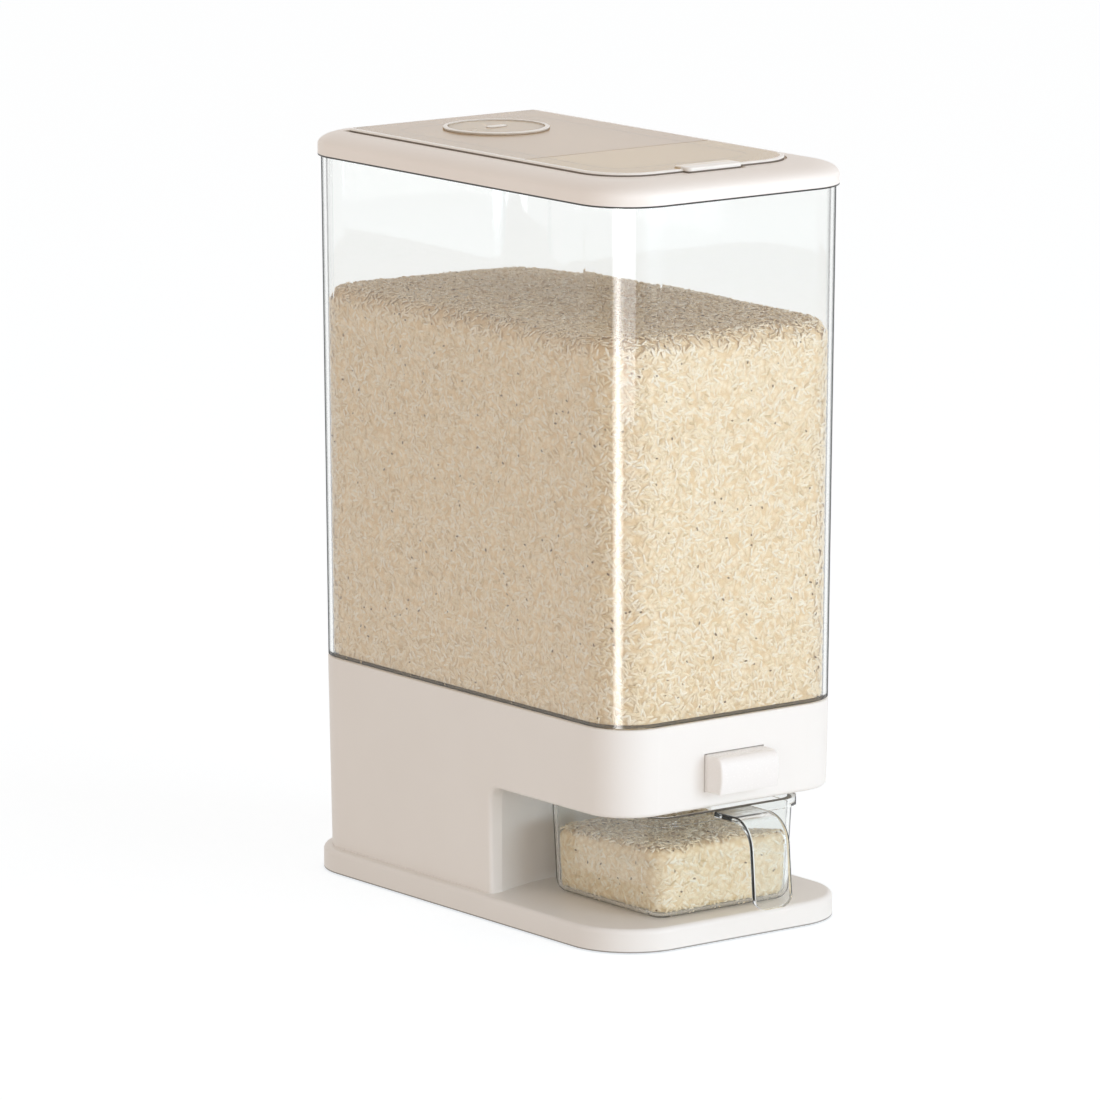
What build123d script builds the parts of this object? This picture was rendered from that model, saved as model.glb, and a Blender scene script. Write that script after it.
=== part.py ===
from build123d import *
import math
import os

# Rice dispenser. Millimetres, +Z up, front towards -Y, X across.
# Everything is drawn with Y = 0 at the middle of the base plate. save() then moves it along Y,
# so that the frame's origin is on the table under the middle of the whole object.

# Driving dimensions: base plate and feet
plate_width = 168.0
plate_length = 292.0
plate_corner = 38.0
plate_thickness = 12.7
plate_wall = 2.4
plate_edge_round = 3.0
plate_rib = 1.6
plate_rib_depth = 9.0
plate_rib_x = 27.0
plate_rib_y = 36.0
foot_radius = 8.0
foot_protrusion = 0.8
foot_recess = 1.4
foot_setback_x = 27.0
foot_setback_y = 29.0

# Driving dimensions: lower housing
housing_height = 108.0
housing_width = 159.0
housing_length = 280.4
housing_corner = 27.5
housing_wall = 2.6
housing_draft = 1.9
housing_edge_round = 2.4
housing_rim_chamfer = 0.6
bay_height = 59.7
bay_depth = 112.3
bay_arch = 7.0
bay_cheek = 9.4
bay_hollow = 14.0
ceiling_thickness = 2.4
ledge_below_top = 8.0
ledge_thickness = 2.5
ledge_reach = 3.4
boss_radius = 4.2
boss_height = 26.0
boss_side_gap = 15.6
boss_front_gap = 16.0
boss_rear_gap = 44.3

# Driving dimensions: container
container_height = 280.8
container_flare = 2.7
container_wall = 2.6
seam_groove = 0.8
skirt_step = 2.9
skirt_wall = 2.2
hook_width = 14.0
hook_height = 1.6
hook_reach = 0.9
hook_setback = 60.2

# Driving dimensions: lid frame
rim_skirt = 1.4
rim_band = 6.0
shoulder_height = 6.7
shoulder_width = 17.5
recess_depth = 1.1
deck_thickness = 2.2
collar_wall = 2.0
collar_depth = 6.0
fill_side_gap = 12.6
fill_front_gap = 17.0
fill_rear_gap = 11.1
fill_corner = 20.0
coaming_depth = 6.0

# Driving dimensions: lid panel, its hinge and its finger tab
panel_side_setback = 18.8
panel_front_setback = 26.5
panel_thickness = 2.4
panel_corner = 28.0
panel_rear_corner = 4.0
panel_edge_round = 0.9
panel_side_gap = 1.5
plug_wall = 1.8
plug_depth = 6.0
tab_width = 37.0
tab_reach = 4.5
tab_rise = 1.0
tab_drop = 1.0
tab_length = 9.0
score_from_front = 80.0
score_width = 0.8
score_depth = 0.3
hinge_setback = 26.5
hinge_drop = 1.6
barrel_radius = 3.0
barrel_length = 12.0
barrel_end_gap = 1.5
pin_radius = 1.5
pin_length = 17.0
pin_reach = 4.0

# Driving dimensions: desiccant chamber and its cap
chamber_setback = 47.0
chamber_radius = 27.2
chamber_wall = 2.0
chamber_depth = 18.0
chamber_flange = 1.8
chamber_flange_thickness = 1.2
cap_radius = 29.5
cap_thickness = 1.2
cap_ring_width = 2.6
cap_dish = 0.6
cap_plug_wall = 1.6
cap_plug_depth = 5.0
cap_lug_reach = 0.8
cap_turn = 60.0
grip_length = 13.0
grip_width = 5.0

# Driving dimensions: hopper and outlet
hopper_wall = 2.0
hopper_flange = 2.0
gasket_thickness = 0.8
throat_half_width = 27.0
throat_height = 6.6
throat_corner = 4.0
knee_drop = 10.5
outlet_setback = 48.1
slot_margin = 1.5
slot_length = 50.0
outlet_seal_thickness = 1.0

# Driving dimensions: gate and button
button_width = 40.0
button_height = 20.0
button_stand = 14.5
button_z = 93.0
button_travel = 12.0
button_wall = 2.2
button_crown = 1.6
button_top_round = 5.0
button_inner = 7.0
button_stop_width = 1.8
button_stop_thickness = 1.6
gate_thickness = 2.2
gate_half_width = 33.0
riser_half_width = 15.0
riser_thickness = 3.0
ear_length = 10.0
ear_thickness = 3.0
rod_radius = 1.5
rod_rise = 7.0
spring_wire = 0.5
spring_radius = 2.9
spring_turns = 6

# Driving dimensions: measuring cup
cup_half_width = 50.0
cup_front_gap = 3.2
cup_rear_gap = 9.0
cup_headroom = 2.5
cup_corner = 14.0
cup_draft = 3.0
cup_wall = 2.2
cup_foot_round = 7.0
cup_lip_reach = 2.2
cup_lip_height = 4.8
handle_width = 26.0
handle_thickness = 3.2
handle_reach = 35.8
handle_bend = 15.0
handle_drop = 47.0
handle_lean = 4.0
handle_tip_round = 9.0

# Driving dimensions: screws and clearances
screw_radius = 1.5
screw_head_radius = 2.9
screw_head_height = 2.0
screw_length = 17.0
button_screw_length = 8.0
close_fit = 0.05
seat_gap = 0.2
slide_gap = 0.3
button_gap = 0.4
seal_gap = 0.3
pivot_gap = 0.6

# Heights, from the table up
plate_bottom = foot_protrusion
plate_top = plate_bottom + plate_thickness
ceiling_z = plate_top + bay_height
ceiling_top = ceiling_z + ceiling_thickness
seam_z = plate_top + housing_height
ledge_z = seam_z - ledge_below_top
lid_edge = seam_z + container_height
crease_z = lid_edge + rim_band
rim_top = crease_z + shoulder_height
deck_z = rim_top - recess_depth
panel_bottom = deck_z + slide_gap
panel_top = panel_bottom + panel_thickness
hinge_z = panel_bottom - hinge_drop
cap_bottom = panel_top + seat_gap
cap_top = cap_bottom + cap_thickness
gate_bottom = ceiling_top + slide_gap
gate_top = gate_bottom + gate_thickness
outlet_seal_bottom = gate_top + seat_gap
throat_bottom = outlet_seal_bottom + outlet_seal_thickness
throat_top = throat_bottom + throat_height
hopper_rim = ledge_z + hopper_flange
skirt_bottom = hopper_rim + gasket_thickness
rod_z = ceiling_top + rod_rise
cup_bottom = plate_top + seat_gap
cup_top = ceiling_z - cup_headroom
cup_height = cup_top - cup_bottom

# Plan sizes of the drafted walls
housing_foot = (housing_width / 2 - housing_draft, housing_length / 2 - housing_draft)
housing_head = (housing_width / 2, housing_length / 2)
container_foot = (housing_head[0] - seat_gap, housing_head[1] - seat_gap)
container_slope = container_flare / container_height
container_top = crease_z - seat_gap
skirt_outer = (container_foot[0] - skirt_step, container_foot[1] - skirt_step)
skirt_inner = (skirt_outer[0] - skirt_wall, skirt_outer[1] - skirt_wall)
skirt_corner = housing_corner - seat_gap - skirt_step

# The cup's place in the bay. Its handle reaches furthest forward and the plate furthest back
bay_rear = bay_depth - housing_length / 2 + housing_draft
cup_front = cup_front_gap - housing_length / 2
cup_rear = bay_rear - cup_rear_gap
front_reach = cup_front - cup_lip_reach - handle_reach
frame_y = -(front_reach + plate_length / 2) / 2
slot_pitch = 2 * button_travel
slot_width = button_travel - slot_margin

# Places of the gate's and the button's parts along Y
fascia_front = -(housing_length / 2 - housing_draft * (seam_z - button_z) / housing_height)
fascia_rear = fascia_front + housing_wall
outlet_y = fascia_rear + outlet_setback
button_front = fascia_front - button_stand
stop_front = fascia_rear + slide_gap + 0.2
riser_front = fascia_rear + button_inner
riser_rear = riser_front + riser_thickness
ear_front = riser_front + 5.0
ear_rear = ear_front + ear_thickness
rod_front = fascia_rear + 2.6
tab_wall = 3.0
rod_rear = outlet_y + 20.0
rod_x = gate_half_width + ear_length / 2

# The lid's plan sizes, and the hinge trough
lid_fit = 0.35
seal_reach = 1.9
plug_seal_width = 2.4
ledge_tuck = 1.5
cap_seal_height = 0.9
cap_seal_width = 1.0
lid_grow = container_slope * (container_top - seam_z) + lid_fit + rim_skirt
lid_half = (container_foot[0] + lid_grow, container_foot[1] + lid_grow)
lid_corner = housing_corner - seat_gap + lid_grow
hinge_y = lid_half[1] - hinge_setback
chamber_y = hinge_y - chamber_setback
panel_half_width = lid_half[0] - panel_side_setback
panel_front = panel_front_setback - lid_half[1]
fill_half_width = panel_half_width - fill_side_gap
fill_front = panel_front + fill_front_gap
fill_rear = hinge_y - fill_rear_gap
barrel_end = panel_half_width - barrel_end_gap
pin_end = panel_half_width + pin_reach
panel_rear = hinge_y + barrel_radius
recess_rear = panel_rear + 2.3
trough_reach = 5.2
lug_height = 1.6
lug_width = 6.0
lug_low = panel_bottom - 2.0


def rounded(half_x, half_y, corner, z, y=0.0):
    """A rounded rectangle face at height z, its middle at y."""
    return Pos(0, y, z) * RectangleRounded(2 * half_x, 2 * half_y, corner)


def block(half_x, half_y, corner, low, high, y=0.0):
    """An upright block with rounded corners."""
    return extrude(rounded(half_x, half_y, corner, low, y), amount=high - low)


def tapered(foot, low, head, high):
    """A drafted block between two rounded rectangles, each (half_x, half_y, corner)."""
    draft = math.degrees(math.atan((head[0] - foot[0]) / (high - low)))
    return extrude(rounded(*foot, low), amount=high - low, taper=-draft)


def box(x, y, z):
    """A box from three (low, high) pairs."""
    size = [high - low for low, high in (x, y, z)]
    middle = [(high + low) / 2 for low, high in (x, y, z)]
    return Pos(*middle) * Box(*size)


def post(x, y, low, high, radius):
    """An upright round post."""
    return Pos(x, y, (low + high) / 2) * Cylinder(radius, high - low)


def rod_along_x(low, high, y, z, radius):
    """A round rod along X."""
    return Pos((low + high) / 2, y, z) * Rot(0, 90, 0) * Cylinder(radius, high - low)


def rod_along_y(low, high, x, z, radius):
    """A round rod along Y."""
    return Pos(x, (low + high) / 2, z) * Rot(90, 0, 0) * Cylinder(radius, high - low)


def side_profile(points, low, high):
    """A solid whose outline is drawn in the YZ plane and extruded along X from low to high."""
    outline = make_face(Plane.YZ.offset(low) * points)
    return extrude(outline, amount=high - low, dir=(1, 0, 0))


def housing_at(z, inset=0.0):
    """Half sizes and corner of the housing's outline at height z, moved in by inset."""
    share = (z - plate_top) / housing_height
    grow = housing_draft * (share - 1) - inset
    return (housing_head[0] + grow, housing_head[1] + grow, housing_corner + grow)


def container_at(z, inset=0.0):
    """Half sizes and corner of the container's outline at height z, moved in by inset."""
    grow = container_slope * (z - seam_z) - inset
    return (container_foot[0] + grow, container_foot[1] + grow, housing_corner - seat_gap + grow)


def save(node, *solids):
    """Write one node's solids to parts/ in the object's own frame."""
    placed = [Pos(0, frame_y, 0) * solid for solid in solids]
    shape = placed[0] if len(placed) == 1 else Compound(children=placed)
    export_step(shape, f"parts/{node}.step")


# Base plate: a shallow tray with ribs, foot pockets and screw bosses underneath
def foot_places():
    x, y = plate_width / 2 - foot_setback_x, plate_length / 2 - foot_setback_y
    return [(side * x, end * y) for side in (-1, 1) for end in (-1, 1)]


def boss_places():
    x = housing_foot[0] - boss_side_gap
    front, rear = bay_rear + boss_front_gap, housing_foot[1] - boss_rear_gap
    return [(side * x, y) for side in (-1, 1) for y in (front, (front + rear) / 2, rear)]


def spread(pitch, half):
    """Places at a pitch about the middle, as far as a third of a pitch from the edge."""
    count = int(half / pitch - 1 / 3)
    return [pitch * index for index in range(-count, count + 1)]


def make_base_plate():
    half_x, half_y = plate_width / 2, plate_length / 2
    plate = block(half_x, half_y, plate_corner, plate_bottom, plate_top)
    top_edges = plate.faces().sort_by(Axis.Z)[-1].edges()
    plate = fillet(top_edges, plate_edge_round)
    tray_top = plate_top - plate_wall
    hollow = block(half_x - plate_wall, half_y - plate_wall, plate_corner - plate_wall,
                   plate_bottom - 1, tray_top - plate_edge_round / 2)
    hollow = chamfer(hollow.faces().sort_by(Axis.Z)[-1].edges(), plate_edge_round / 2)
    plate -= hollow
    rib_low = tray_top - plate_rib_depth
    for x in spread(plate_rib_x, half_x):
        plate += box((x - plate_rib / 2, x + plate_rib / 2),
                     (plate_wall - half_y, half_y - plate_wall), (rib_low, tray_top - 1))
    for y in spread(plate_rib_y, half_y):
        plate += box((plate_wall - half_x, half_x - plate_wall),
                     (y - plate_rib / 2, y + plate_rib / 2), (rib_low, tray_top - 1))
    foot_top = plate_bottom + foot_recess
    for x, y in foot_places():
        plate += post(x, y, plate_bottom, tray_top - 1, foot_radius + plate_wall)
        plate -= post(x, y, plate_bottom - 1, foot_top, foot_radius + seat_gap)
    head_seat = plate_top - 2 * plate_wall
    for x, y in boss_places():
        plate += post(x, y, plate_bottom + 1, tray_top - 1, screw_head_radius + plate_wall)
        plate -= post(x, y, plate_bottom, head_seat, screw_head_radius + 2 * seat_gap)
        plate -= post(x, y, plate_bottom, plate_top + 1, screw_radius + seat_gap)
    return plate


def make_rubber_feet():
    feet = []
    for x, y in foot_places():
        pad = post(x, y, 0, plate_bottom + foot_recess, foot_radius)
        feet.append(chamfer(pad.faces().sort_by(Axis.Z)[0].edges(), foot_protrusion / 2))
    return feet


def screw(length):
    """A pan-head screw with its head at z = 0 and its shank pointing up +Z."""
    head = Pos(0, 0, -screw_head_height / 2) * Cylinder(screw_head_radius, screw_head_height)
    head = chamfer(head.faces().sort_by(Axis.Z)[0].edges(), screw_head_height / 3)
    head -= Pos(0, 0, -screw_head_height) * Box(2.6, 0.7, 1.2)
    head -= Pos(0, 0, -screw_head_height) * Box(0.7, 2.6, 1.2)
    shank = Pos(0, 0, length / 2) * Cylinder(screw_radius, length)
    shank = chamfer(shank.faces().sort_by(Axis.Z)[-1].edges(), screw_radius / 2)
    return head + shank


def make_base_screws():
    head_seat = plate_top - 2 * plate_wall
    return [Pos(x, y, head_seat) * screw(screw_length) for x, y in boss_places()]


# Lower housing: a drafted shell whose lower front is cut away for the bay
def bay_opening():
    """The bay as cut from side to side, with an arched upper rear corner."""
    y, z = bay_rear, ceiling_z
    low = Polyline((-plate_length, plate_bottom), (y, plate_bottom), (y, z - bay_arch))
    arch = RadiusArc((y, z - bay_arch), (y - bay_arch, z), -bay_arch)
    top = Polyline((y - bay_arch, z), (-plate_length, z), (-plate_length, plate_bottom))
    return side_profile(low + arch + top, -plate_width, plate_width)


def bay_bowl(wall, top):
    """The bay between its cheeks, with a hollowed rear wall, grown by wall."""
    reach = housing_head[0] - bay_cheek
    curve = (reach ** 2 + bay_hollow ** 2) / (2 * bay_hollow)
    half = reach + wall / 2
    bowl = post(0, bay_rear + bay_hollow - curve, plate_bottom, top, curve + wall)
    bowl &= box((-half, half), (bay_rear - 1, plate_length), (plate_bottom, top))
    return bowl + box((-reach, reach), (-plate_length, bay_rear), (plate_bottom, top))


def bay_walls():
    """The bay and the walls round it, which the housing's hollow leaves solid."""
    space = box((-plate_width, plate_width), (-plate_length, bay_rear + housing_wall),
                (plate_bottom, ceiling_top))
    return space + bay_bowl(housing_wall, ceiling_top)


def on_opening_rim(edge):
    """True for the edges where the bay's opening meets the housing's outside."""
    x, y, z = abs(edge.center().X), edge.center().Y, edge.center().Z
    outside = x > housing_foot[0] - 3 or y < housing_corner / 2 - housing_foot[1]
    return outside and y < bay_rear + 0.01 and plate_top + 1 < z < ceiling_z + 0.01


def make_lower_housing():
    foot, head = housing_at(plate_top), housing_at(seam_z)
    shell = tapered(foot, plate_top, head, seam_z)
    shell = chamfer(shell.faces().sort_by(Axis.Z)[-1].edges(), housing_rim_chamfer)
    shell -= bay_opening() + bay_bowl(0.0, ceiling_z)
    shell = fillet(shell.edges().filter_by(on_opening_rim), housing_edge_round)
    low, high = plate_top - 1, seam_z + 1
    inside = tapered(housing_at(low, housing_wall), low, housing_at(high, housing_wall), high)
    shell -= inside - bay_walls()
    shell += make_ledge()
    shell = add_bosses(shell)
    shell = add_gate_channel(shell)
    shell -= make_button_window()
    for hook in make_hooks(seat_gap):
        shell -= hook
    return shell


def make_ledge():
    """The ledge inside the housing's top, which carries the hopper."""
    low = ledge_z - ledge_thickness
    half_x, half_y, corner = housing_at(low, housing_wall - 0.5)
    ledge = block(half_x, half_y, corner, low, ledge_z)
    reach = ledge_reach + 0.5
    ledge -= block(half_x - reach, half_y - reach, corner - reach, low - 1, ledge_z + 1)
    return ledge


def add_bosses(shell):
    """Screw bosses that stand on the base plate, each with a web to the side wall."""
    top = plate_top + boss_height
    for x, y in boss_places():
        side = 1 if x > 0 else -1
        near, far = sorted((x, side * (housing_foot[0] - housing_wall / 2)))
        shell += box((near, far), (y - plate_rib / 2, y + plate_rib / 2), (plate_top, top))
        shell += post(x, y, plate_top, top, boss_radius)
        shell -= post(x, y, plate_top - 1, top - plate_wall, screw_radius + close_fit)
    return shell


def rod_places():
    return [-rod_x, rod_x]


def add_gate_channel(shell):
    """The outlet in the bay's ceiling, the ribs that guide the gate and the tabs that hold the rods."""
    rear = outlet_y + slot_pitch / 2 + slot_width / 2 + slot_margin
    front = outlet_y - slot_pitch / 2 - slot_width / 2 - slot_margin
    half = slot_length / 2 + slot_margin
    shell -= box((-half, half), (front, rear), (ceiling_z - 1, ceiling_top + 1))
    inner = gate_half_width + slide_gap
    rib_front = ear_rear + button_travel + slide_gap + 2
    for side in (-1, 1):
        low, high = sorted((side * inner, side * (inner + housing_wall - 0.6)))
        shell += box((low, high), (rib_front, rear + button_travel), (ceiling_z + 1, gate_top + 2))
    for x in rod_places():
        for tab_front, tab_rear in ((rod_front, rod_front + tab_wall), (rod_rear - tab_wall, rod_rear)):
            wide = ear_length / 2 - 1
            shell += box((x - wide, x + wide), (tab_front, tab_rear), (ceiling_z + 1, rod_z + 3.5))
            shell -= rod_along_y(tab_front - 1, tab_rear + 1, x, rod_z, rod_radius + close_fit)
    return shell


def make_button_window():
    half_x, half_z = button_width / 2 + button_gap, button_height / 2 + button_gap
    return box((-half_x, half_x), (-housing_length, fascia_rear + 1), (button_z - half_z, button_z + half_z))


def make_rods():
    rods = []
    for x in rod_places():
        rod = rod_along_y(rod_front, rod_rear, x, rod_z, rod_radius)
        rods.append(chamfer(rod.edges().filter_by(GeomType.CIRCLE), rod_radius / 4))
    return rods


# Container: a clear drafted bin with a skirt that stands inside the housing
def make_hooks(grow=0.0):
    """Snap hooks on the skirt, two on each side wall. With grow they cut the pockets that take them."""
    middle = (skirt_bottom + seam_z) / 2
    hooks = []
    hook_y = housing_length / 2 - hook_setback
    for y in (-hook_y, hook_y):
        for side in (-1, 1):
            inner, outer = skirt_outer[0] - skirt_wall / 2, skirt_outer[0] + hook_reach + grow
            low, high = sorted((side * inner, side * outer))
            tall, wide = hook_height / 2 + grow, hook_width / 2 + grow
            hooks.append(box((low, high), (y - wide, y + wide), (middle - tall, middle + tall)))
    return hooks


def make_container():
    low = seam_z + seam_groove
    wall = tapered(container_at(low), low, container_at(container_top), container_top)
    wall += block(*skirt_outer, skirt_corner, skirt_bottom, low + 1)
    turn_z = seam_z + container_wall
    upper, lower = container_at(turn_z, container_wall), (*skirt_inner, skirt_corner - skirt_wall)
    top = container_top + 1
    wall -= tapered(upper, turn_z, container_at(top, container_wall), top)
    wall -= tapered(lower, seam_z, upper, turn_z)
    wall -= block(*lower, skirt_bottom - 1, seam_z)
    for hook in make_hooks():
        wall += hook
    return wall


# Hopper: a sloped floor that leads the rice to two slots above the gate
def hopper_section(half_x, front, rear, corner, z, grow=0.0):
    half_y = (rear - front) / 2 + grow
    return rounded(half_x + grow, half_y, corner + grow, z, (front + rear) / 2).face()


def make_funnel(drop, mouth_grow, grow):
    """The hopper's funnel, as the space inside it or, lowered and grown, as its outside."""
    throat_front = outlet_y - slot_pitch / 2 - slot_width / 2 - 0.75
    throat_rear = outlet_y + slot_pitch / 2 + slot_width / 2 + 0.75
    share = knee_drop / (hopper_rim - throat_top)
    knee_x = skirt_inner[0] + share * (throat_half_width - skirt_inner[0])
    knee_rear = skirt_inner[1] + share * (throat_rear - skirt_inner[1])
    knee_front = throat_front - hopper_wall
    mouth_corner = skirt_corner - skirt_wall
    mouth = hopper_section(skirt_inner[0], -skirt_inner[1], skirt_inner[1], mouth_corner,
                           hopper_rim - drop, mouth_grow)
    knee = hopper_section(knee_x, knee_front, knee_rear, mouth_corner * (1 - share),
                          hopper_rim - knee_drop - drop, grow)
    throat = hopper_section(throat_half_width, throat_front, throat_rear, throat_corner,
                            throat_top - drop, grow)
    low = throat_bottom + (hopper_wall if drop == 0 else 0)
    neck = hopper_section(throat_half_width, throat_front, throat_rear, throat_corner, low, grow)
    funnel = loft([mouth, knee], ruled=True) + loft([knee, throat], ruled=True)
    return funnel + extrude(neck, amount=throat_top - drop - low)


def outlet_slots(low, high, shift=0.0):
    """The two outlet slots, as cutters."""
    middles = [outlet_y + side * slot_pitch / 2 + shift for side in (-1, 1)]
    return [block(slot_length / 2, slot_width / 2, 1.5, low, high, middle) for middle in middles]


def make_hopper():
    half_x, half_y, corner = housing_at(ledge_z, housing_wall + slide_gap)
    flange = block(half_x, half_y, corner, ledge_z, hopper_rim)
    hopper = make_funnel(hopper_flange, slide_gap - ledge_tuck, hopper_wall) + flange
    hopper -= make_funnel(0.0, 0.0, 0.0)
    for slot in outlet_slots(throat_bottom - 1, throat_bottom + hopper_wall + 1):
        hopper -= slot
    return hopper


def make_hopper_gasket():
    gasket = block(*skirt_outer, skirt_corner, hopper_rim, skirt_bottom)
    return gasket - block(*skirt_inner, skirt_corner - skirt_wall, hopper_rim - 1, skirt_bottom + 1)


def make_outlet_seal():
    half_x = throat_half_width + hopper_wall
    half_y = slot_pitch / 2 + slot_width / 2 + hopper_wall
    seal = block(half_x, half_y, throat_corner, outlet_seal_bottom, throat_bottom, outlet_y)
    for slot in outlet_slots(outlet_seal_bottom - 1, throat_bottom + 1):
        seal -= slot
    return seal


# Gate and push button: the button pushes the gate back until its slots meet the outlet's
def make_gate_slide():
    rear = outlet_y + slot_pitch / 2 + slot_width / 2 + 2 * slot_margin
    plate = box((-gate_half_width, gate_half_width), (riser_front, rear), (gate_bottom, gate_top))
    corners = plate.edges().filter_by(Axis.Z).group_by(Axis.Y)[-1]
    plate = fillet(corners, 3.0)
    for slot in outlet_slots(gate_bottom - 1, gate_top + 1, -button_travel):
        plate -= slot
    top = button_z + 6
    plate += box((-riser_half_width, riser_half_width), (riser_front, riser_rear), (gate_bottom, top))
    for x in (-riser_half_width, 0, riser_half_width):
        web = Polyline((riser_rear - 1, gate_top - 1), (riser_rear + 5, gate_top - 1),
                       (riser_rear + 5, gate_top), (riser_rear, gate_top + 8),
                       (riser_rear - 1, gate_top + 8), close=True)
        low = min(max(x - plate_rib / 2, -riser_half_width), riser_half_width - plate_rib)
        plate += side_profile(web, low, low + plate_rib)
    for x in button_screw_xs():
        plate -= rod_along_y(riser_front - 1, riser_rear + 1, x, button_z, screw_radius + seat_gap)
    for x in rod_places():
        low, high = sorted((math.copysign(gate_half_width - 2, x), x + math.copysign(ear_length / 2, x)))
        plate += box((low, high), (ear_front, ear_rear), (gate_bottom, rod_z + 3.5))
        plate -= rod_along_y(ear_front - 1, ear_rear + 1, x, rod_z, rod_radius + close_fit)
    return plate


def button_screw_xs():
    return [-riser_half_width + 5, riser_half_width - 5]


def make_push_button():
    """A D-section bar, hollow from behind, with a stop flange and two screw bosses."""
    low, high = button_z - button_height / 2, button_z + button_height / 2
    front, crown = button_front, button_crown
    outline = Polyline((riser_front, low), (front + crown, low))
    face = ThreePointArc((front + crown, low), (front, button_z), (front + crown, high))
    top = Polyline((front + crown, high), (riser_front, high), (riser_front, low))
    bar = side_profile(outline + face + top, -button_width / 2, button_width / 2)
    upper = bar.edges().filter_by(Axis.X).sort_by(lambda e: e.center().Y - e.center().Z)[0]
    bar = fillet(upper, button_top_round)
    rim = bar.edges().filter_by(lambda e: abs(abs(e.center().X) - button_width / 2) < 0.01
                                and e.center().Y < front + button_stand - 3)
    bar = fillet(rim, 1.2)
    stop_low, stop_high = low - button_stop_width, high + button_stop_width
    stop_half = button_width / 2 + button_stop_width
    bar += box((-stop_half, stop_half), (stop_front, stop_front + button_stop_thickness),
               (stop_low, stop_high))
    bar -= box((-button_width / 2 + button_wall, button_width / 2 - button_wall),
               (front + crown + button_wall, riser_front + 1), (low + button_wall, high - button_wall))
    for x in button_screw_xs():
        bar += rod_along_y(front + crown + 1, riser_front, x, button_z, boss_radius - 1)
        bar -= rod_along_y(riser_front - button_screw_length, riser_front + 1, x, button_z,
                           screw_radius + close_fit)
    return bar


def make_button_screws():
    return [Pos(x, riser_rear, button_z) * Rot(90, 0, 0) * screw(button_screw_length)
            for x in button_screw_xs()]


def make_spring(x):
    """One compression spring, swept along its helix between the ear and the rear tab."""
    start, end = ear_rear + seat_gap + spring_wire, rod_rear - tab_wall - seat_gap - spring_wire
    pitch = (end - start) / spring_turns
    helix = Helix(pitch, end - start, spring_radius)
    path = Pos(x, start, rod_z) * Rot(-90, 0, 0) * helix
    section = Plane(path @ 0, z_dir=path % 0) * RegularPolygon(spring_wire, 6)
    return sweep(section, path=path, is_frenet=True)


# Lid frame: a ring with a rounded shoulder round the recess that takes the panel
def shoulder_ring():
    """The lid's rounded shoulder, swept round its outline."""
    path = rounded(*lid_half, lid_corner, 0).wire()
    start = path.position_at(0)
    up = Vector(0, 0, 1)
    inward = up.cross(path.tangent_at(0))
    if inward.dot(start) > 0:
        inward = inward * -1
    plane = Plane(origin=start, x_dir=inward, z_dir=inward.cross(up))
    arc = EllipticalCenterArc((shoulder_width, crease_z), shoulder_width, shoulder_height,
                              start_angle=90, arc_size=90)
    close = Polyline((0, crease_z), (shoulder_width, crease_z), (shoulder_width, rim_top))
    profile = plane * make_face(arc + close)
    return sweep(profile, path=path)


def lid_outline(half_x, front, rear, front_corner, rear_corner):
    """An outline whose front and rear corners differ, as a face at z = 0."""
    outline = Pos(0, (front + rear) / 2) * Rectangle(2 * half_x, rear - front)
    outline = fillet(outline.vertices().group_by(Axis.Y)[0], front_corner)
    return fillet(outline.vertices().group_by(Axis.Y)[-1], rear_corner)


def lid_plate(outline, low, high):
    return extrude(Pos(0, 0, low) * outline, amount=high - low)


def fill_opening(low, high, grow=0.0):
    outline = lid_outline(fill_half_width + grow, fill_front - grow, fill_rear + grow,
                          fill_corner + grow, fill_corner + grow)
    return lid_plate(outline, low, high)


def make_lid_frame():
    inner = (lid_half[0] - shoulder_width, lid_half[1] - shoulder_width)
    frame = shoulder_ring()
    frame += block(*inner, lid_corner - shoulder_width, crease_z, rim_top)
    frame += block(*lid_half, lid_corner, lid_edge, crease_z)
    inset = rim_skirt
    frame -= block(lid_half[0] - inset, lid_half[1] - inset, lid_corner - inset, lid_edge - 1, crease_z)
    frame += collar_ring(0.0, collar_wall, crease_z - collar_depth, crease_z + 1)
    deck_low = deck_z - deck_thickness
    hollow = collar_half(collar_wall)
    frame -= block(*hollow, crease_z - collar_depth - 1, deck_low)
    frame += fill_opening(deck_z - coaming_depth, deck_low + 1, collar_wall)
    trough_low = hinge_z - barrel_radius - 2 * pivot_gap
    shelf_front, shelf_rear = hinge_y - trough_reach - collar_wall, recess_rear + collar_wall
    frame += box((-pin_end - collar_wall, pin_end + collar_wall), (shelf_front, shelf_rear),
                 (trough_low - collar_wall, deck_low + 1))
    recess = lid_outline(panel_half_width + panel_side_gap, panel_front - panel_side_gap, recess_rear,
                         panel_corner + panel_side_gap, panel_side_gap)
    frame -= lid_plate(recess, deck_z, rim_top + 1)
    notch = tab_width / 2 + panel_side_gap
    notch_front = panel_front - tab_reach - panel_side_gap
    frame -= box((-notch, notch), (notch_front, 0), (deck_z, rim_top + 1))
    frame -= box((-notch, notch), (notch_front, panel_front + 1 + slide_gap),
                 (panel_bottom - tab_drop - slide_gap, rim_top))
    frame -= fill_opening(deck_z - coaming_depth - 1, rim_top)
    frame -= box((-panel_half_width - panel_side_gap, panel_half_width + panel_side_gap),
                 (hinge_y - trough_reach, recess_rear), (trough_low, deck_z + 1))
    for side in (-1, 1):
        low, high = sorted((side * panel_half_width, side * (pin_end + close_fit)))
        frame -= rod_along_x(low, high, hinge_y, hinge_z, pin_radius + close_fit)
    return frame


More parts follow.
